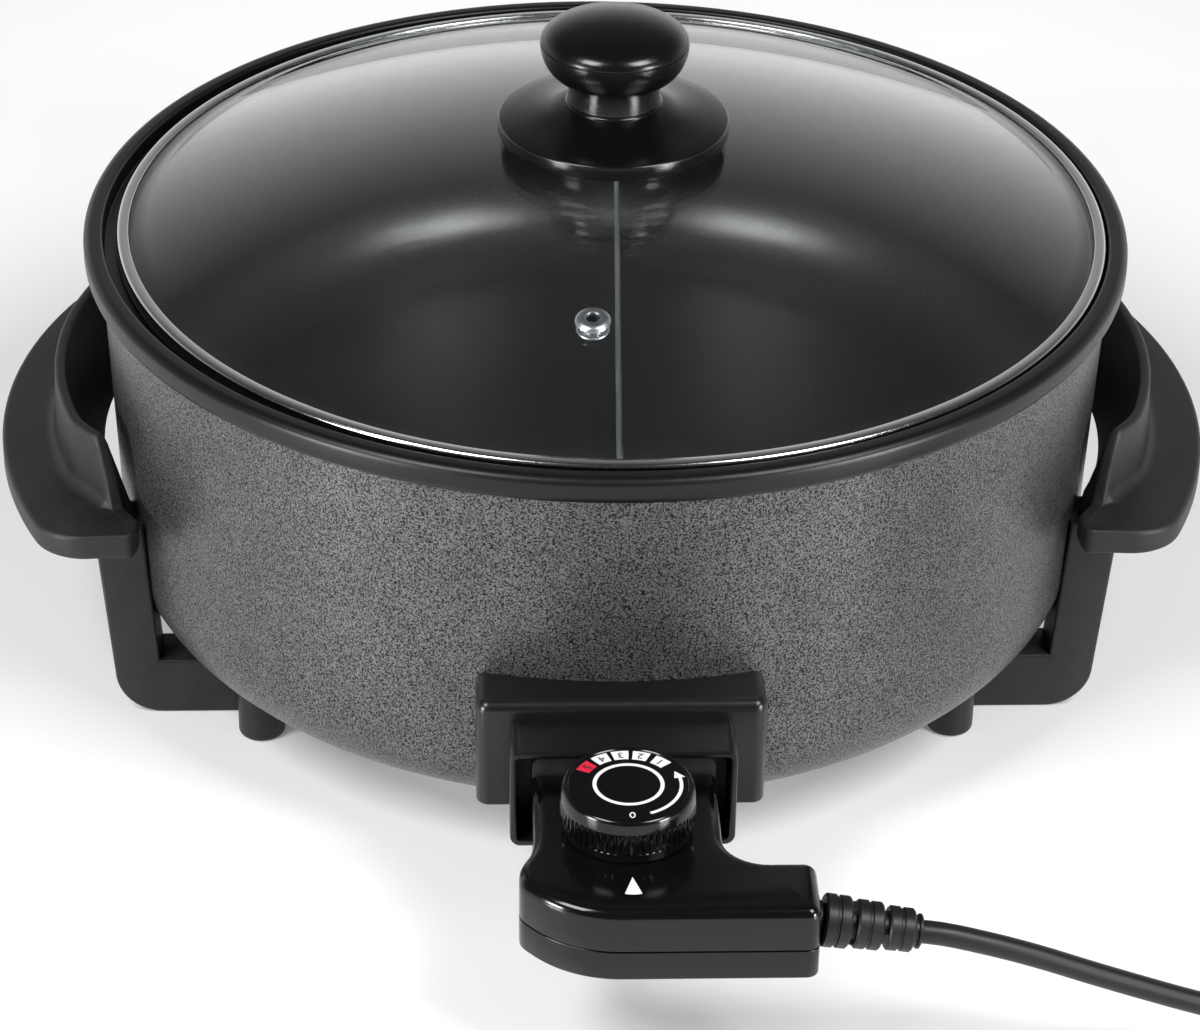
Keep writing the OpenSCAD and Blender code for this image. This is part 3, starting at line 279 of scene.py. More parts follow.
# black ABS moulded in a polished tool: deep gloss, faint flow waviness
glossAbs, tree, shader, place = startMaterial("polishedBlackAbs", "#08080a", 0.12, shine=0.35)
wave = noise(tree, place, 9, 2.0)
setGloss(tree, shader, wave, 0.09, 0.2)
setLift(tree, shader, wave, 0.03, 0.3)

# black phenolic, compression moulded: half gloss with a fine skin, used for the knob
phenolic, tree, shader, place = startMaterial("mouldedPhenolic", "#08080a", 0.2, shine=0.4)
skin = noise(tree, place, 1.2, 3.0)
setGloss(tree, shader, skin, 0.15, 0.27)
setLift(tree, shader, skin, 0.04, 0.08)

# matt black phenolic of the handles and legs: fine spark-eroded grain and faint pale scuffs
grainPhenolic, tree, shader, place = startMaterial("grainedPhenolic", "#1a1b1c", 0.52, shine=0.35)
scuff = addNode(tree, "ShaderNodeTexNoise", {"Vector": place, "Scale": perMm(11), "Detail": 6.0,
                                             "Roughness": 0.65}).outputs["Fac"]
worn = addNode(tree, "ShaderNodeMapRange", {"Value": scuff, "From Min": 0.35, "From Max": 0.75})
setTint(tree, shader, worn.outputs[0], "#161718", "#222324")
setGloss(tree, shader, scuff, 0.44, 0.6)
setLift(tree, shader, noise(tree, place, 0.8, 2.0), 0.22, 0.15)

# black phenolic of the socket, moulded in a smooth tool: dark, half gloss, with a tight shine on its edges
socketPhenolic, tree, shader, place = startMaterial("smoothPhenolic", "#0c0c0d", 0.3, shine=0.4)
skin = noise(tree, place, 1.4, 3.0)
setGloss(tree, shader, skin, 0.24, 0.36)
setLift(tree, shader, skin, 0.06, 0.1)

# stainless steel strip, roll formed and polished: bright, its shine a little uneven
polishedSteel, tree, shader, place = startMaterial("polishedStainless", "#d2d3d4", 0.14, 1.0)
setGloss(tree, shader, noise(tree, place, 1.2, 3.0), 0.08, 0.24)

# steel with a dull zinc plate: grey, faintly mottled, half rough
zincSteel, tree, shader, place = startMaterial("zincPlatedSteel", "#a9acb0", 0.34, 1.0)
mottle = noise(tree, place, 3, 4.0)
setTint(tree, shader, mottle, "#8f9398", "#bfc2c4")
setGloss(tree, shader, mottle, 0.25, 0.45)

# drawn steel sheath of the heater, annealed: dull, straw to blue-grey in patches
sheathSteel, tree, shader, place = startMaterial("annealedSheathSteel", "#77736c", 0.45, 1.0)
setTint(tree, shader, noise(tree, place, 16, 4.0), "#5d5f66", "#8a8272")

# aluminium sheet with a satin rolled face: pale grey, lengthwise roll lines
rolledAluminium, tree, shader, place = startMaterial("rolledAluminium", "#9b9da0", 0.4, 1.0)
stretch = addNode(tree, "ShaderNodeMapping", {"Vector": place, "Scale": (1, 0.04, 1)})
line = noise(tree, stretch.outputs[0], 0.8, 3.0)
setTint(tree, shader, line, "#86888b", "#acaeb0")
setGloss(tree, shader, line, 0.32, 0.5)

# tempered soda-lime glass, press bent: clear and nearly neutral; lamps pass it so that the pan is lit
temperedGlass, tree, shader, place = startMaterial("temperedGlass", "#f6f7f7", 0.0)
shader.inputs["IOR"].default_value = 1.5
shader.inputs["Transmission Weight"].default_value = 1.0
clear = addNode(tree, "ShaderNodeBsdfTransparent", {"Color": linear("#eef3f2")})
ray = addNode(tree, "ShaderNodeLightPath")
blend = addNode(tree, "ShaderNodeMixShader", {0: ray.outputs["Is Shadow Ray"], 1: shader.outputs[0],
                                              2: clear.outputs[0]})
tree.links.new(blend.outputs[0], tree.nodes["Material Output"].inputs["Surface"])

# steatite, pressed and fired, unglazed: cream with faint grey specks
steatite, tree, shader, place = startMaterial("firedSteatite", "#d8d1c2", 0.6)
setTint(tree, shader, noise(tree, place, 1.1, 4.0), "#c9c1b1", "#e3ddd0")

# stamped brass: warm yellow with darker handled patches
stampedBrass, tree, shader, place = startMaterial("stampedBrass", "#c9a55c", 0.3, 1.0)
setTint(tree, shader, noise(tree, place, 4, 3.0), "#a98545", "#dab96e")

# soft PVC, extruded or moulded over: black, satin, with a very fine skin
softPvc, tree, shader, place = startMaterial("softBlackPvc", "#101112", 0.4, shine=0.35)
skin = noise(tree, place, 1.0, 3.0)
setGloss(tree, shader, skin, 0.34, 0.5)
setLift(tree, shader, skin, 0.1, 0.1)

# silicone wire insulation, extruded: dull brick red with a powdery bloom
siliconeRed, tree, shader, place = startMaterial("siliconeInsulation", "#8c2f2b", 0.55)
setTint(tree, shader, noise(tree, place, 2, 3.0), "#7d2724", "#9a3a35")

# pad-printed ink: flat, slightly uneven at the film's edge
inks = {}
for name, dark, pale in (("padPrintWhite", "#c9c9c8", "#dcdcdb"), ("padPrintRed", "#b01530", "#cc1f3c"),
                         ("padPrintBlack", "#0c0c0d", "#161617")):
    inks[name], tree, shader, place = startMaterial(name, pale, 0.5)
    setTint(tree, shader, noise(tree, place, 0.6, 2.0), dark, pale)
print("finishes mixed:", len(bpy.data.materials))


# Mains cord, with its strain relief and tie
flex = {"radius": 3.15, "droop": 9.3, "reliefLength": 27.5, "armEnd": 49, "laneY": -226, "exitY": -225.85,
        "exitZ": 48.1, "straight": 6, "coilX": 242, "coilR": 42, "step": 7, "loops": 4, "perLoop": 24, "lowZ": 4.65,
        "rise": 7, "stub": 8.3,
        "lead": [(92, 40.2), (107, 35.4), (122, 29.7), (137, 24.2), (152, 19), (167, 14.4), (182, 10.2), (197, 7),
                 (211, 5.2)],
        "tail": [(270, 12.3), (284, 13.9), (298, 16.1), (310, 17.6), (319, 18), (326, 18)], "length": 1.137}
droop = math.radians(flex["droop"])
way = Vector((math.cos(droop), 0, -math.sin(droop)))
leaves = Vector((flex["armEnd"], flex["exitY"], flex["exitZ"])) + flex["reliefLength"] * way
route = [leaves, leaves + flex["straight"] * way] + [Vector((x, flex["laneY"], z)) for x, z in flex["lead"]]
route += [Vector((flex["coilX"] - k * flex["stub"], flex["laneY"], flex["lowZ"])) for k in (2, 1)]
for i in range(flex["loops"] * flex["perLoop"] + 1):
    t = i / flex["perLoop"]
    r = flex["coilR"] - flex["step"] * min(t, flex["loops"] - t)
    a = 2 * math.pi * t
    route.append(Vector((flex["coilX"] + r * math.sin(a), flex["laneY"] + flex["coilR"] - r * math.cos(a),
                         flex["lowZ"] + flex["rise"] * ease(2 * (t - flex["loops"] / 2 + 0.25)))))
route += [Vector((flex["coilX"] + k * flex["stub"], flex["laneY"], flex["lowZ"] + flex["rise"])) for k in (1, 2)]
route += [Vector((x, flex["laneY"], z)) for x, z in flex["tail"]]
curve = bpy.data.curves.new("mainsCord", "CURVE")
curve.dimensions, curve.bevel_depth, curve.bevel_resolution, curve.resolution_u = "3D", flex["radius"] * mm, 5, 4
curve.use_fill_caps = True
spline = curve.splines.new("BEZIER")
spline.bezier_points.add(len(route) - 1)
for knot, p in zip(spline.bezier_points, route):
    knot.co = (p + Vector((0, panAxisY, 0))) * mm
    knot.handle_left_type = knot.handle_right_type = "AUTO"
curve.materials.append(softPvc)
cord = bpy.data.objects.new("mainsCord", curve)
scene.collection.objects.link(cord)
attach(cord, "controller")
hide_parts("cord_lead", "cord_coil", "cord_tail")

# moulded strain relief: three grooved collars with slots between them, left open at top and bottom in turn
relief = {"core": 4.25, "collars": [7.1, 6.55, 5.95], "start": 1.2, "pitch": 8.6, "length": 7.0, "groove": 0.55,
          "spokes": 48, "bridge": 38}
profile = [(0, -4.9), (6.4, -4.9), (6.4, -2.5), (5.0, -2.4), (5.0, 0.2)]
rows = []
z = relief["start"]
for r in relief["collars"]:
    profile += [(relief["core"], z - 0.05)]
    profile += [(r - 0.5, z), (r, z + 0.5), (r, z + 2.9), (r - relief["groove"], z + 3.2),
                (r - relief["groove"], z + 3.8), (r - 0.1, z + 4.1), (r - 0.1, z + 6.5),
                (r - 0.6, z + relief["length"]), (relief["core"], z + relief["length"] + 0.05)]
    rows.append((z + relief["length"] + 0.02, z + relief["pitch"] - 0.02, r))
    z += relief["pitch"]
profile += [(relief["core"], 26.4), (4.7, 26.7), (4.7, 27.3), (4.3, 27.6), (flex["radius"], 27.6), (0, 27.6)]
bm = lathe(profile, relief["spokes"])
for v in bm.verts:
    for k, (low, high, r) in enumerate(rows[:2]):
        if low <= v.co.z <= high + 0.1 and math.hypot(v.co.x, v.co.y) < relief["core"] + 0.2:
            side = abs(v.co.x if k == 0 else v.co.y) / math.hypot(v.co.x, v.co.y)
            if side > math.cos(math.radians(relief["bridge"] / 2)):
                v.co.x, v.co.y = (c * (r - 0.9) / relief["core"] for c in v.co.xy)
turned(bm, 90 + flex["droop"], "Y")
bmesh.ops.translate(bm, vec=(flex["armEnd"], flex["exitY"], flex["exitZ"]), verts=bm.verts)
reliefPiece = makePiece("strainRelief", bm, [softPvc], "controller", "rubber_black", "strain_relief")

# woven tie round the coil: a flat band with softened edges
tie = {"x": 242, "y": -149, "z": 8.15, "width": 11, "inner": 7.15, "outer": 8.1, "corner": 2.6}
loops = []
bm = bmesh.new()
for half, x in ((tie["inner"], -1), (tie["outer"], -1), (tie["outer"], 1), (tie["inner"], 1)):
    r = tie["corner"] + half - tie["inner"]
    ring = []
    for q in range(4):
        a = math.radians(90 * q + 45)
        mid = (half - r) * math.sqrt(2)
        ring += arcPoints(mid * math.cos(a), mid * math.sin(a), r, 90 * q, 90 * q + 90, 5)
    verts = [bm.verts.new((tie["x"] + x * tie["width"] / 2, tie["y"] + y, tie["z"] + z)) for y, z in ring]
    loops.append([bm.edges.new(pair) for pair in zip(verts, verts[1:] + verts[:1])])
for one, two in zip(loops, loops[1:] + loops[:1]):
    bmesh.ops.bridge_loops(bm, edges=one + two)
tidyMesh(bm)
tiePiece = makePiece("cordTie", bm, [softPvc], "controller", "rubber_black", "cord_tie")
print("cord laid:", len(route), "points")


# Pan
pan = {"rimR": 155, "rimIn": 149.2, "rimZ": 139.5, "rimRound": 2.5, "wallTopR": 150.2, "wallTopZ": 131.5,
       "underZ": 18.5, "floorZ": 57, "flatR": 121.2, "cornerR": 26, "innerR": 28, "innerC": 116.6, "seatR": 143, "seatZ": 134.3,
       "lipZ": 128, "lipR": 146.08, "steps": 288}
wallMidZ = pan["underZ"] + pan["cornerR"]
profile = [(0, pan["underZ"])] + [(r, pan["underZ"]) for r in (40, 80)]
profile += arcPoints(pan["flatR"], wallMidZ, pan["cornerR"], -90, 0, 20)
lowR = pan["flatR"] + pan["cornerR"]
profile += [(lowR + (pan["wallTopR"] - lowR) * t, wallMidZ + (pan["wallTopZ"] - wallMidZ) * t)
            for t in (0.25, 0.5, 0.75, 1)]
panOutside = [(r + 0.1, z) if r > pan["flatR"] else (r, z - 0.1) for r, z in profile] + [(0, pan["wallTopZ"])]
rimMid = pan["rimR"] - pan["rimRound"]
profile += arcPoints(rimMid, pan["wallTopZ"] + pan["rimRound"], pan["rimRound"], -90, 0, 8)
profile += arcPoints(rimMid, pan["rimZ"] - pan["rimRound"], pan["rimRound"], 0, 90, 10)
profile += arcPoints(pan["rimIn"] + 1.2, pan["rimZ"] - 1.2, 1.2, 90, 180, 6)
profile += arcPoints(pan["rimIn"] - 0.8, pan["seatZ"] + 0.8, 0.8, 0, -90, 3)
profile += arcPoints(pan["seatR"] + 0.7, pan["seatZ"] - 0.7, 0.7, 90, 180, 4)
profile += [(pan["seatR"], pan["seatZ"] - 2.6), (pan["lipR"], pan["lipZ"])]
innerEnd, innerTop = pan["innerC"] + pan["innerR"], pan["floorZ"] + pan["innerR"]
profile += [(innerEnd + (pan["lipR"] - innerEnd) * t, innerTop + (pan["lipZ"] - innerTop) * t)
            for t in (0.75, 0.5, 0.25)]
profile += arcPoints(pan["innerC"], innerTop, pan["innerR"], 0, -90, 18)
profile += [(r, pan["floorZ"]) for r in (80, 40, 0)]
bm = lathe(profile, pan["steps"])
for face in bm.faces:
    c = face.calc_center_median()
    r = math.hypot(c.x, c.y)
    outward = c.x * face.normal.x + c.y * face.normal.y > 0.01 * r or face.normal.z < -0.5
    underSeat = c.z > pan["lipZ"] and r < pan["lipR"] + 0.2
    onRim = r > pan["seatR"] - 0.1 and (c.z > pan["wallTopZ"] - 0.01 or underSeat)
    face.material_index = 1 if onRim else 0 if outward else 2
makePiece("panBowl", bm, [hammertone, satinEnamel, nonStick], "pan", "coated_pan", "pan_bowl", "cooking_plate")
print("pan turned")


# Lid
lid = {"off": 1.7, "domeR": 405.15, "domeC": -240.25, "glassT": 4, "edgeR": 142.8, "edgeZ": 138.9, "lowZ": 134.9,
       "glassR": 146.3, "ringR": 147.0, "ringIn": 143.4, "ringLow": 134.3, "ringTop": 139.5, "sheet": 0.6,
       "fold": 1.3, "foldIn": 0.7, "hole": 3.0, "steps": 288, "rows": 28, "ventDist": 94, "ventTurn": -95.4, "ventHole": 3.0}


def domeZ(r, inside=0):
    return lid["domeC"] + math.sqrt((lid["domeR"] - inside) ** 2 - r * r)


def toLid(bm):
    bmesh.ops.translate(bm, vec=(lid["off"], 0, 0), verts=bm.verts)
    return bm


ventTilt = math.asin(lid["ventDist"] / lid["domeR"])
ventPlace = (Matrix.Translation((lid["off"], 0, lid["domeC"]))
             @ Matrix.Rotation(math.radians(lid["ventTurn"]), 4, "Z")
             @ Matrix.Rotation(ventTilt, 4, "Y") @ Matrix.Translation((0, 0, lid["domeR"])))
innerEdge = math.sqrt((lid["domeR"] - lid["glassT"]) ** 2 - (lid["lowZ"] - lid["domeC"]) ** 2)
radii = [lid["hole"] + (lid["edgeR"] - lid["hole"]) * i / lid["rows"] for i in range(lid["rows"] + 1)]
profile = [(r * innerEdge / lid["edgeR"], domeZ(r * innerEdge / lid["edgeR"], lid["glassT"])) for r in radii]
profile[0] = (lid["hole"], domeZ(lid["hole"], lid["glassT"]))
profile += [(lid["glassR"], lid["lowZ"]), (lid["glassR"], lid["edgeZ"])]
profile += [(r, domeZ(r)) for r in reversed(radii)]
drill = bmesh.new()
bmesh.ops.create_cone(drill, cap_ends=True, segments=40, radius1=lid["ventHole"], radius2=lid["ventHole"], depth=20)
drill.transform(ventPlace)
dome = carved(toLid(lathe(profile, lid["steps"], closed=True)), drill)
makePiece("lidGlass", dome, [temperedGlass], "lid", "clear_glass", "lid_glass")

# steel edge: a U-shaped strip rolled round the glass
top, low, out, inn, t = lid["ringTop"], lid["ringLow"], lid["ringR"], lid["ringIn"], lid["sheet"]
profile = [(inn, top - t / 2)] + arcPoints(inn + t / 2, top - t / 2, t / 2, 180, 90, 3)
fold, foldIn = lid["fold"], lid["foldIn"]
profile += arcPoints(out - fold, top - fold, fold, 90, 0, 6) + arcPoints(out - fold, low + fold, fold, 0, -90, 6)
profile += arcPoints(inn + t / 2, low + t / 2, t / 2, -90, -180, 3) + [(inn, low + t)]
profile += [(out - t - foldIn, low + t), (out - t, low + t + foldIn), (out - t, top - t - foldIn),
            (out - t - foldIn, top - t), (inn, top - t)]
ring = toLid(lathe(profile, lid["steps"], closed=True))
makePiece("lidRing", ring, [polishedSteel], "lid", "bright_steel", "lid_ring")

# vent eyelet: rolled flange above, tube through the glass, spread tail below
profile = [(1.9, 1.2), (2.1, 1.62), (2.5, 1.8), (3.3, 1.75), (4.1, 1.5), (4.75, 1.05), (5.05, 0.55), (5.1, 0.2),
           (4.9, 0.05), (2.9, 0.05), (2.9, -4.1), (4.5, -4.15), (4.7, -4.5), (4.5, -5.0), (3.2, -5.15),
           (2.2, -5.0), (1.9, -4.6)]
bm = lathe(profile, 64, closed=True)
bm.transform(ventPlace)
makePiece("ventEyelet", bm, [zincSteel], "lid", "bright_steel", "vent_eyelet")

# knob: base disc and mushroom grip
knob = {"baseR": 34, "standR": 25, "lowZ": 166.7, "sideZ": 171.4, "neckZ": 176.25, "neckR": 13.5, "footR": 14.3,
        "ballR": 21.8, "ballZ": 184.3, "midZ": 195.3, "belly": 11, "crown": 7.97, "groove": 0.3, "boreR": 2.6,
        "boreTop": 192.2, "edge": 0.8, "steps": 160}
rim, sideZ, neckZ, edge = knob["baseR"], knob["sideZ"], knob["neckZ"], knob["edge"]
profile = [(r, domeZ(r) + 0.2) for r in (lid["hole"], 10, 18, knob["standR"])]
profile += [(knob["standR"] + edge, knob["lowZ"])]
profile += arcPoints(rim - edge, knob["lowZ"] + edge, edge, -90, 0, 4)
profile += arcPoints(rim - edge, sideZ - edge, edge, 0, 80, 5)
profile += [(29, sideZ + 0.75), (24, sideZ + 1.65), (19, sideZ + 2.9), (knob["footR"] + 0.3, neckZ)]
profile += [(lid["hole"], neckZ)]
base = toLid(lathe(profile, knob["steps"], closed=True))
makePiece("knobBase", base, [phenolic], "lid", "gloss_black", "knob_base")
profile = [(0, knob["boreTop"]), (knob["boreR"], knob["boreTop"]), (knob["boreR"], neckZ + 0.02)]
profile += [(knob["footR"], neckZ + 0.02), (knob["footR"], neckZ + 0.55), (knob["footR"] - 0.25, neckZ + 0.85)]
profile += [(knob["neckR"] + 0.1, neckZ + 1.15)]
profile += [(knob["neckR"], neckZ + 2), (knob["neckR"] - 0.15, neckZ + 5)]
profile += [(knob["neckR"] - 0.25, knob["ballZ"] - 0.5)]
inward = knob["neckR"] - 0.2
for i in range(15):
    a = math.radians(86 * i / 14)
    profile.append((inward + (knob["ballR"] - inward) * math.sin(a), knob["midZ"] - knob["belly"] * math.cos(a)))
profile += [(knob["ballR"], knob["midZ"] - 0.3), (knob["ballR"] - knob["groove"], knob["midZ"] - 0.05)]
profile += [(knob["ballR"] - knob["groove"], knob["midZ"] + 0.25), (knob["ballR"] - 0.03, knob["midZ"] + 0.5)]
for i in range(1, 17):
    a = math.radians(4 + 86 * i / 16)
    profile.append((knob["ballR"] * math.cos(a) if i < 16 else 0, knob["midZ"] + knob["crown"] * math.sin(a)))
makePiece("knobGrip", toLid(lathe(profile, knob["steps"])), [phenolic], "lid", "gloss_black", "knob_grip")
print("lid set")


# Socket on the wall
socket = {"half": 40, "front": 159.1, "low": 37, "high": 71, "edge": 3.2, "lowEdge": 1.0, "corner": 3.6, "back": 120}
edge = socket["corner"]
outline = [(-socket["half"], -socket["back"])]
outline += arcPoints(-socket["half"] + edge, -socket["front"] + edge, edge, 180, 270, 8)
outline += arcPoints(socket["half"] - edge, -socket["front"] + edge, edge, -90, 0, 8)
outline += [(socket["half"], -socket["back"])]
block = softSlab(outline, socket["low"], socket["high"], socket["lowEdge"], socket["edge"])
bm = carved(block, lathe(panOutside, pan["steps"]))
makePiece("socketBracket", bm, [socketPhenolic], "pan", "matt_black", "socket_bracket")

collar = {"half": 30.9, "low": 35, "high": 66, "wall": 1.9, "back": 159.1, "front": 175.3, "corner": 3.0, "edge": 0.6}
rings = []
edge, wall, mouth = collar["edge"], collar["wall"], collar["front"]
for inset, y in ((0, collar["back"]), (0, mouth - edge), (0.3 * edge, mouth - 0.3 * edge), (edge, mouth),
                 (wall - edge, mouth), (wall - 0.3 * edge, mouth - 0.3 * edge), (wall, mouth - edge),
                 (wall, collar["back"])):
    h, lo, hi, r = collar["half"] - inset, collar["low"] + inset, collar["high"] - inset, collar["corner"] - inset
    ring = arcPoints(h - r, hi - r, r, 0, 90, 5) + arcPoints(r - h, hi - r, r, 90, 180, 5)
    ring += arcPoints(r - h, lo + r, r, 180, 270, 5) + arcPoints(h - r, lo + r, r, 270, 360, 5)
    rings.append([(x, -y, z) for x, z in ring])
bm, loops = bridged(rings)
for one, two in zip(loops, loops[1:] + loops[:1]):
    bmesh.ops.bridge_loops(bm, edges=one + two)
tidyMesh(bm)
makePiece("socketCollar", bm, [socketPhenolic], "pan", "matt_black", "socket_collar")
print("socket fitted")


# Thermostat controller
control = {"nose": 25, "back": 173.8, "front": 237.1, "arm": 214.6, "armX": 49, "flare": 12, "cornerR": 31,
           "cornerX": -2.45, "low": 37.2, "split": 46.2, "top": 59, "topRound": 3.2, "lowRound": 0.5, "seam": 0.3, "seamEdge": 0.25,
           "armCorner": 3.4}
n, f, c = control["nose"], control["front"], control["armCorner"]
left = cutCorners([(-n, -190), (-n, -207.5), (-28.9, -214.5), (-29.3, -219.5), (-28.83, -223.1), (-25.49, -226.84)])
outline = [(-n, -control["back"])] + left[:-1]
outline += arcPoints(control["cornerX"], control["cornerR"] - f, control["cornerR"], 222, 270, 18)
outline += arcPoints(control["armX"] - c, c - f, c, -90, 0, 5)
outline += arcPoints(control["armX"] - c, -control["arm"] - c, c, 0, 90, 5)
outline += arcPoints(n + control["flare"], control["flare"] - control["arm"], control["flare"], 270, 180, 12)
outline += [(n, -control["back"])]
seamHalf, seamEdge = control["seam"] / 2, control["seamEdge"]
bm = softSlab(outline, control["split"] + seamHalf, control["top"], seamEdge, control["topRound"])
makePiece("controllerTop", bm, [glossAbs], "controller", "gloss_black", "controller_top")
bm = softSlab(outline, control["low"], control["split"] - seamHalf, control["lowRound"], seamEdge, 4)
makePiece("controllerBottom", bm, [glossAbs], "controller", "gloss_black", "controller_bottom")

pointer = {"x": 0.4, "apex": -221.6, "base": -228.8, "half": 2.3, "lift": 0.04}
outline = [(pointer["x"], pointer["apex"])]
outline += [(pointer["x"] + s, pointer["base"] - 0.35 * (1 - (s / pointer["half"]) ** 2))
            for s in (-pointer["half"], -1.2, 0, 1.2, pointer["half"])]
bm = slab(outline, control["top"] - 0.05, control["top"] + pointer["lift"])
makePiece("dialPointer", bm, [inks["padPrintWhite"]], "controller", "gloss_black")
print("controller closed")


# Dial
dial = {"y": -199, "r": 18.1, "footR": 17.4, "low": 59.3, "foot": 62.4, "top": 72.8, "ribs": 60, "ribDepth": 0.55,
        "ribTop": 68.6}
out, footR, footZ, ribTop, top = dial["r"], dial["footR"], dial["foot"], dial["ribTop"], dial["top"]
profile = [(0, dial["low"]), (footR - 0.3, dial["low"]), (footR, dial["low"] + 0.3), (footR, footZ - 0.5)]
profile += [(footR - 0.25, footZ - 0.3), (footR - 0.25, footZ), (out - 0.25, footZ), (out, footZ + 0.25)]
profile += [(out - 0.02, footZ + 2.5)]
profile += [(out - 0.06, ribTop - 0.9), (out - 0.08, ribTop), (out - 0.12, ribTop + 0.3), (out - 0.3, top - 1.3)]
profile += [(out - 0.55, top - 0.6), (out - 1.0, top - 0.18), (out - 1.5, top), (out - 2.0, top - 0.02)]
profile += [(out - 2.25, top - 0.25), (0, top - 0.25)]
bm = lathe(profile, dial["ribs"] * 4)
for v in bm.verts:
    r = math.hypot(v.co.x, v.co.y)
    step = round(math.degrees(math.atan2(v.co.y, v.co.x)) * dial["ribs"] / 90)
    if r > out - 0.3 and footZ - 0.01 < v.co.z < ribTop - 0.1 and step % 4 in (2, 3):
        v.co.x, v.co.y = (c * (r - dial["ribDepth"]) / r for c in v.co.xy)
bmesh.ops.translate(bm, vec=(0, dial["y"], 0), verts=bm.verts)
makePiece("dialKnob", bm, [glossAbs], "dial", "gloss_black", "dial_knob")

marks = {"face": dial["top"] - 0.25, "film": 0.05, "ringR": 9.0, "ringLine": 1.05, "boxIn": 11.5, "boxOut": 15.3,
         "boxHalf": 9.2, "boxes": [(49, "1"), (74, "2"), (97, "3"), (120, "4"), (144, "5")], "arrow": (-68, 12),
         "arrowR": 14.0, "arrowLine": 0.95, "headHalf": 1.5, "headTurn": 13, "digit": 3.4, "zero": 3.6}


def band(inner, outer, start, end, steps, lift):
    flat = arcPoints(0, dial["y"], outer, start, end, steps) + arcPoints(0, dial["y"], inner, end, start, steps)
    return slab(flat, marks["face"] - 0.02, marks["face"] + marks["film"] + lift)


def numeral(sign, size, x, y, turn, lift):
    words = bpy.data.curves.new("numeral", "FONT")
    words.body, words.size, words.extrude = sign, size, 0.04
    words.align_x = words.align_y = "CENTER"
    holder = bpy.data.objects.new("numeral", words)
    scene.collection.objects.link(holder)
    bpy.context.view_layer.update()
    mesh = bpy.data.meshes.new_from_object(holder.evaluated_get(bpy.context.evaluated_depsgraph_get()))
    bpy.data.objects.remove(holder)
    bm = bmesh.new()
    bm.from_mesh(mesh)
    bpy.data.meshes.remove(mesh)
    bmesh.ops.remove_doubles(bm, verts=bm.verts, dist=0.001)
    turned(bm, turn, "Z")
    bmesh.ops.translate(bm, vec=(x, dial["y"] + y, marks["face"] + marks["film"] + lift), verts=bm.verts)
    return bm


def numberBox(a):
    return band(marks["boxIn"], marks["boxOut"], a - marks["boxHalf"], a + marks["boxHalf"], 6, 0)


def line(r, width, start, end):
    return band(r - width / 2, r + width / 2, start, end, 24, 0)


def polar(r, a):
    return r * math.cos(math.radians(a)), r * math.sin(math.radians(a))


white = [line(marks["ringR"], marks["ringLine"], a, a + 120) for a in (0, 120, 240)]
white += [numberBox(a) for a, sign in marks["boxes"][:4]]
start, end = marks["arrow"]
white.append(line(marks["arrowR"], marks["arrowLine"], start, end))
head = [(marks["arrowR"] + s, end) for s in (-marks["headHalf"], marks["headHalf"])]
head += [(marks["arrowR"] - 0.3, end + marks["headTurn"])]
head = [(x, dial["y"] + y) for x, y in (polar(r, a) for r, a in head)]
white.append(slab(head, marks["face"] - 0.02, marks["face"] + marks["film"]))
white.append(numeral("0", marks["zero"], 0.5, -14.0, 0, -0.02))
makePiece("dialMarks", joined(*white), [inks["padPrintWhite"]], "dial", "gloss_black")
makePiece("dialHotMark", numberBox(marks["boxes"][4][0]), [inks["padPrintRed"]], "dial", "gloss_black")
middle = (marks["boxIn"] + marks["boxOut"]) / 2
digits = [numeral(sign, marks["digit"], *polar(middle, a), a + 90, 0.02) for a, sign in marks["boxes"]]
makePiece("dialNumerals", joined(*digits), [inks["padPrintBlack"]], "dial", "gloss_black")
print("dial printed")


# Handles, legs and feet
grip = {"outC": 25.2, "outR": 157.6, "end": 76.0, "endR": 16, "fingerC": 41, "fingerR": 121.7, "fingerLow": 111.3,
        "toeIn": 117.2, "bend": 40, "low": 65.8, "top": 73.6, "guardT": 4, "guardTop": 3.3, "guardH": 20.9,
        "flat": 54, "half": 63, "wallR": 148, "wallGap": 1.2, "edge": 1.5, "lip": 1.2, "fillet": 3.5, "toe": 137.6, "toeR": 4.5,
        "toeDraft": 0.6}
inR = grip["outR"] - grip["endR"]
bendA = math.asin((grip["end"] - grip["endR"]) / inR)
cornerX, cornerY = grip["outC"] + inR * math.cos(bendA), -inR * math.sin(bendA)
toeMid = Vector((grip["toe"] + grip["toeR"], grip["toeR"] + grip["toeDraft"] - grip["end"]))
half = arcPoints(toeMid.x, toeMid.y, grip["toeR"], -127, -92, 6)
half += [(toeMid.x + (cornerX - toeMid.x) * k, -grip["end"] + grip["toeDraft"] * (1 - k))
         for k in (0.2, 0.4, 0.6, 0.8)]
half += arcPoints(cornerX, cornerY, grip["endR"], -91.5, -math.degrees(bendA), 24)
half += arcPoints(grip["outC"], 0, grip["outR"], -math.degrees(bendA), 0, 30)[1:]
handleLine = half + [(x, -y) for x, y in reversed(half[:-1])]


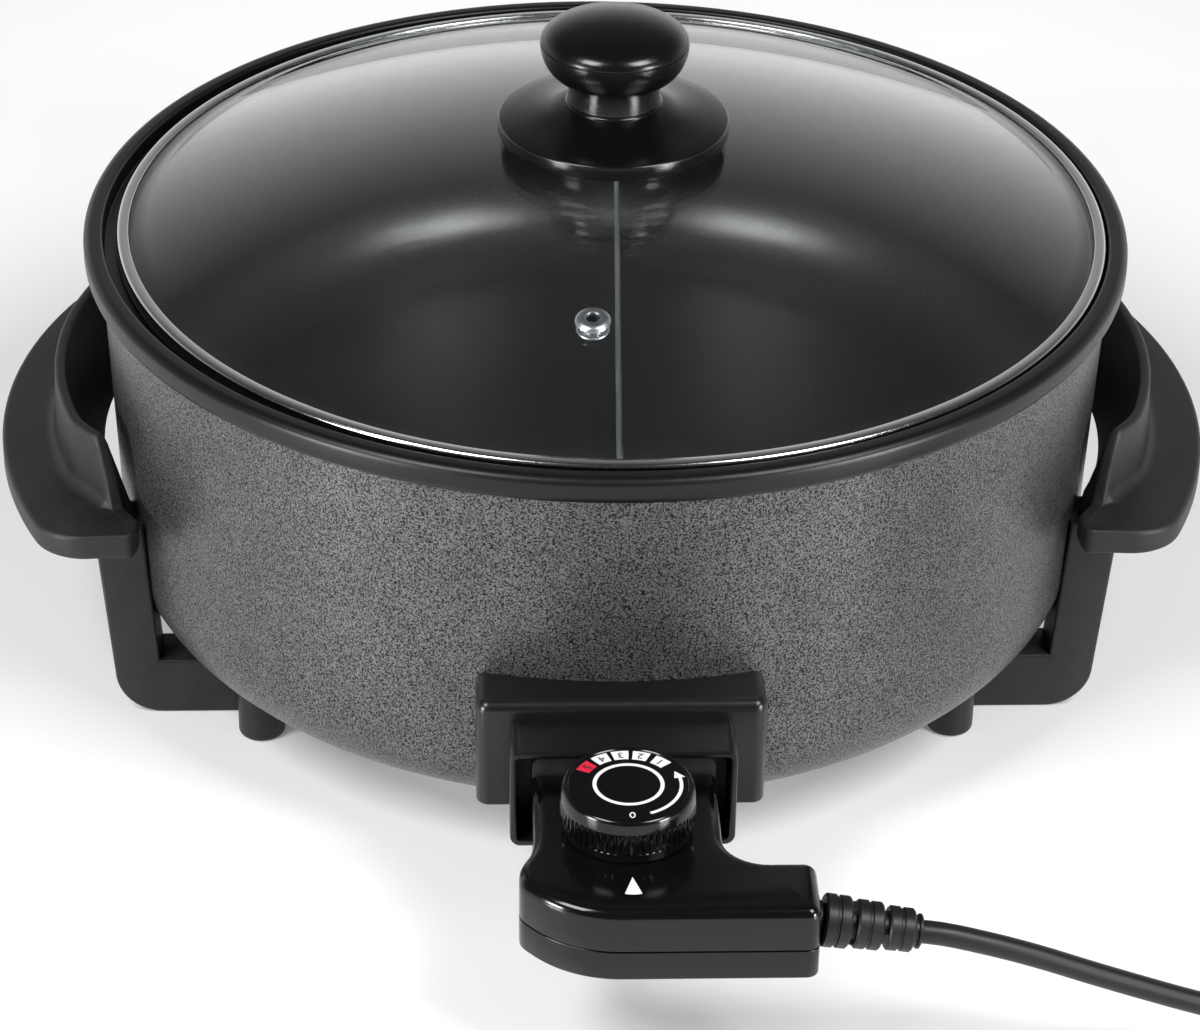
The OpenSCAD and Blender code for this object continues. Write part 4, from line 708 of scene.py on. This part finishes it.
def gripSection(wide, rise, slack):
    tall = grip["top"] - grip["low"]
    edge = min(grip["edge"], 0.3 * wide)
    thick = min(grip["guardT"], 0.45 * wide)
    curve = min(grip["fillet"], 0.5 * rise, 0.5 * (wide - thick - edge))
    crown = min(grip["lip"], 0.4 * rise)
    thin = thick * (1 - (1 - grip["guardTop"] / grip["guardT"]) * min(1, rise / 8))
    lip = min(grip["lip"], 0.3 * wide)
    trace = [(edge - slack, 0)] + arcPoints(wide - edge, edge, edge, -90, 0, 4)
    trace += arcPoints(wide - edge, tall - edge, edge, 0, 90, 5) + [((wide - edge + thick + curve) / 2, tall)]
    trace += arcPoints(thick + curve, tall + curve, curve, 270, 180, 6)
    trace += arcPoints(thin - crown, tall + rise - crown, crown, 0, 90, 4)
    trace += arcPoints(lip, tall + rise - lip, lip, 90, 180, 4)
    return trace + [(slack * (k - 1), edge + (tall + rise - lip - edge) * k) for k in (0.75, 0.5, 0.25, 0)]


def handleMesh():
    rings = []
    toeX = grip["toe"] - grip["fingerC"]
    for x, y in handleLine:  # one section for each point of the outline, on a line from the finger opening's centre
        away = Vector((x - grip["fingerC"], y))
        far = away.length
        away.normalize()
        lean = grip["fingerC"] * away.x
        wall = math.sqrt(lean ** 2 + grip["wallR"] ** 2 - grip["fingerC"] ** 2) - lean
        fall = ease((abs((grip["fingerR"] + 2) * away.y) - grip["flat"]) / (grip["half"] - grip["flat"]))
        turn = ease((abs((grip["fingerR"] + 2) * away.y) - grip["bend"]) / (grip["half"] - grip["bend"]))
        near = max(grip["fingerR"] - (grip["fingerR"] - grip["toeIn"]) * turn, toeX / away.x)
        if toeX * abs(away.y) / away.x > -toeMid.y:  # round the toe's corner
            along = (toeX + grip["toeR"]) * away.x - toeMid.y * abs(away.y)
            across = (toeX + grip["toeR"]) * abs(away.y) + toeMid.y * away.x
            near = along - math.sqrt(max(0, grip["toeR"] ** 2 - across ** 2))
        near = min(near, far - 0.4)
        slack = max(0, min((grip["fingerR"] - grip["fingerLow"]) * (1 - fall), near - wall - grip["wallGap"]))
        rings.append([(grip["fingerC"] + (near + d) * away.x, (near + d) * away.y, grip["low"] + z)
                      for d, z in gripSection(far - near, max(0.08, grip["guardH"] * (1 - fall)), slack)])
    bm, loops = bridged(rings)
    for one, two in zip(loops, loops[1:]):
        bmesh.ops.bridge_loops(bm, edges=one + two)
    bmesh.ops.holes_fill(bm, edges=[e for e in bm.edges if e.is_boundary], sides=0)
    bmesh.ops.recalc_face_normals(bm, faces=bm.faces)
    return bm


leg = {"face": 58, "depth": 16, "x": 133.2, "width": 14.7, "lean": 3.6, "corner": 14, "barEnd": 92, "barTop": 18.5,
       "top": 65.75, "edge": 1.0}
tilt = math.tan(math.radians(leg["lean"]))
legLine = [(leg["barEnd"], 0)]
legLine += arcPoints(leg["x"] + leg["width"] - leg["corner"], leg["corner"], leg["corner"], -90, 0, 12)
legLine += [(leg["x"] + leg["top"] * tilt + leg["width"], leg["top"]), (leg["x"] + leg["top"] * tilt, leg["top"])]
legLine += [(leg["x"] + leg["barTop"] * tilt, leg["barTop"]), (leg["barEnd"], leg["barTop"])]
foot = {"x": 103.8, "y": 67.7, "r": 7, "top": 18.4, "round": 1.5}


def mirrored(bm, x, y):
    bmesh.ops.scale(bm, vec=(x, y, 1), verts=bm.verts)
    bmesh.ops.recalc_face_normals(bm, faces=bm.faces)
    return bm


for side, x in (("left", -1), ("right", 1)):
    makePiece(side + "Handle", mirrored(handleMesh(), x, 1), [grainPhenolic], "pan", "matt_black", side + "_handle")
    for end, y in (("front", 1), ("rear", -1)):
        corner = end + side.capitalize()
        ends = (leg["face"] - leg["depth"], leg["face"])
        bm = slab(legLine, *ends)
        softenEnds(bm, ends, leg["edge"], 3)
        turned(bm, 90, "X")
        bm = carved(bm, lathe(panOutside, pan["steps"]))
        makePiece(corner + "Leg", mirrored(bm, x, y), [grainPhenolic], "pan", "matt_black", f"{end}_{side}_leg")
        profile = [(0, 0)] + arcPoints(foot["r"] - foot["round"], foot["round"], foot["round"], -90, 0, 5)
        profile += [(foot["r"], foot["top"]), (0, foot["top"])]
        bm = lathe(profile, 48)
        bmesh.ops.translate(bm, vec=(x * foot["x"], -y * foot["y"], 0), verts=bm.verts)
        makePiece(corner + "Foot", bm, [softPvc], "pan", "rubber_black", f"{end}_{side}_foot")
print("handles and legs on")


# CAD solids whose shape is right get their finish
finishes = {
    sheathSteel: ["heating_element"],
    zincSteel: ["element_clips", "weld_studs", "bracket_screws", "leg_screws", "knob_washer", "knob_screw",
                "shell_screws", "probe_sleeve", "dial_shaft"],
    polishedSteel: ["terminal_pins", "probe", "plug_pins", "plug_earth_clips"],
    rolledAluminium: ["divider_plate"],
    grainPhenolic: ["plug_block", "terminal_block"],
    steatite: ["thermostat_base"],
    stampedBrass: ["earth_blade", "contact_sockets", "bimetal_strip"],
    softPvc: ["knob_seal", "plug_body"],
    siliconeRed: ["inner_wires"],
}
for finish, names in finishes.items():
    for name in names:
        for place in nodes[name].material_slots:
            place.material = finish
print("solids finished")


# Floor and light
# floor is a grey of painted shade round the pan, fading to farFloor's white between the near and far distances, in m
studio = {"floor": "#e0e0e2", "farFloor": "#ffffff", "near": 0.24, "far": 0.5, "fill": 0.12, "horizon": 1.3,
          "overhead": 0.15, "front": 0.08, "away": 1.4,
          "lamps": [("keyLeft", -46, 48, 0.5, 14.5), ("keyRight", 46, 48, 0.5, 14.5), ("stripLeft", -54, 8, 0.34, 17),
                    ("stripRight", 50, 8, 0.34, 17)]}
# white acrylic sheet, cast: pale and half gloss, with painted shade: greyer near the pan, turning white further out;
# faintly lit from within to the eye
bm = bmesh.new()
bmesh.ops.create_grid(bm, x_segments=2, y_segments=2, size=8)
mesh = bpy.data.meshes.new("studioFloor")
bm.to_mesh(mesh)
bm.free()
table, tree, shader, place = startMaterial("acrylicTable", studio["floor"], 0.22)
reach = addNode(tree, "ShaderNodeVectorMath", {0: place}, operation="LENGTH")
pale = addNode(tree, "ShaderNodeMapRange", {"Value": reach.outputs["Value"], "From Min": studio["near"],
                                            "From Max": studio["far"]})
# painted shade: the floor's colour is grey within near of its middle under the pan and white past far
setTint(tree, shader, pale.outputs[0], studio["floor"], studio["farFloor"])
ray = addNode(tree, "ShaderNodeLightPath").outputs
seen = addNode(tree, "ShaderNodeMath", {0: ray["Is Camera Ray"], 1: ray["Is Glossy Ray"]}, operation="MAXIMUM")
seenAll = addNode(tree, "ShaderNodeMath", {0: seen.outputs[0], 1: ray["Is Transmission Ray"]}, operation="MAXIMUM")
fill = addNode(tree, "ShaderNodeMath", {0: seenAll.outputs[0], 1: studio["fill"]}, operation="MULTIPLY")
shader.inputs["Emission Color"].default_value = (1, 1, 1, 1)
tree.links.new(fill.outputs[0], shader.inputs["Emission Strength"])
mesh.materials.append(table)
floor = bpy.data.objects.new("studioFloor", mesh)
scene.collection.objects.link(floor)

world = bpy.data.worlds.new("studioRoom")
scene.world = world
world.use_nodes = True
tree = world.node_tree
back = tree.nodes["Background"]
up = addNode(tree, "ShaderNodeSeparateXYZ", {0: addNode(tree, "ShaderNodeTexCoord").outputs["Generated"]})
sky = addNode(tree, "ShaderNodeMapRange", {"Value": up.outputs["Z"], "From Min": 0.05, "From Max": 0.55,
                                           "To Min": studio["horizon"], "To Max": studio["overhead"]})
room = addNode(tree, "ShaderNodeMapRange", {"Value": up.outputs["Y"], "From Min": -0.05, "From Max": 0.75,
                                            "To Min": studio["front"]})
glow = addNode(tree, "ShaderNodeMath", {0: sky.outputs[0], 1: room.outputs[0]}, operation="MULTIPLY")
back.inputs["Color"].default_value = (1, 1, 1, 1)
tree.links.new(glow.outputs[0], back.inputs["Strength"])

aim = Vector((0, panAxisY * mm, 0.08))
for name, turn, rise, size, power in studio["lamps"]:
    lamp = bpy.data.lights.new(name, "AREA")
    lamp.shape, lamp.size, lamp.energy = "SQUARE", size, power
    box = bpy.data.objects.new(name, lamp)
    a, e = math.radians(turn), math.radians(rise)
    away = Vector((math.sin(a) * math.cos(e), -math.cos(a) * math.cos(e), math.sin(e)))
    facing = away.to_track_quat("Z", "Y").to_matrix().to_4x4()
    box.matrix_world = Matrix.Translation(aim + studio["away"] * away) @ facing
    scene.collection.objects.link(box)
scene.view_settings.view_transform = "Standard"
print("studio lit")
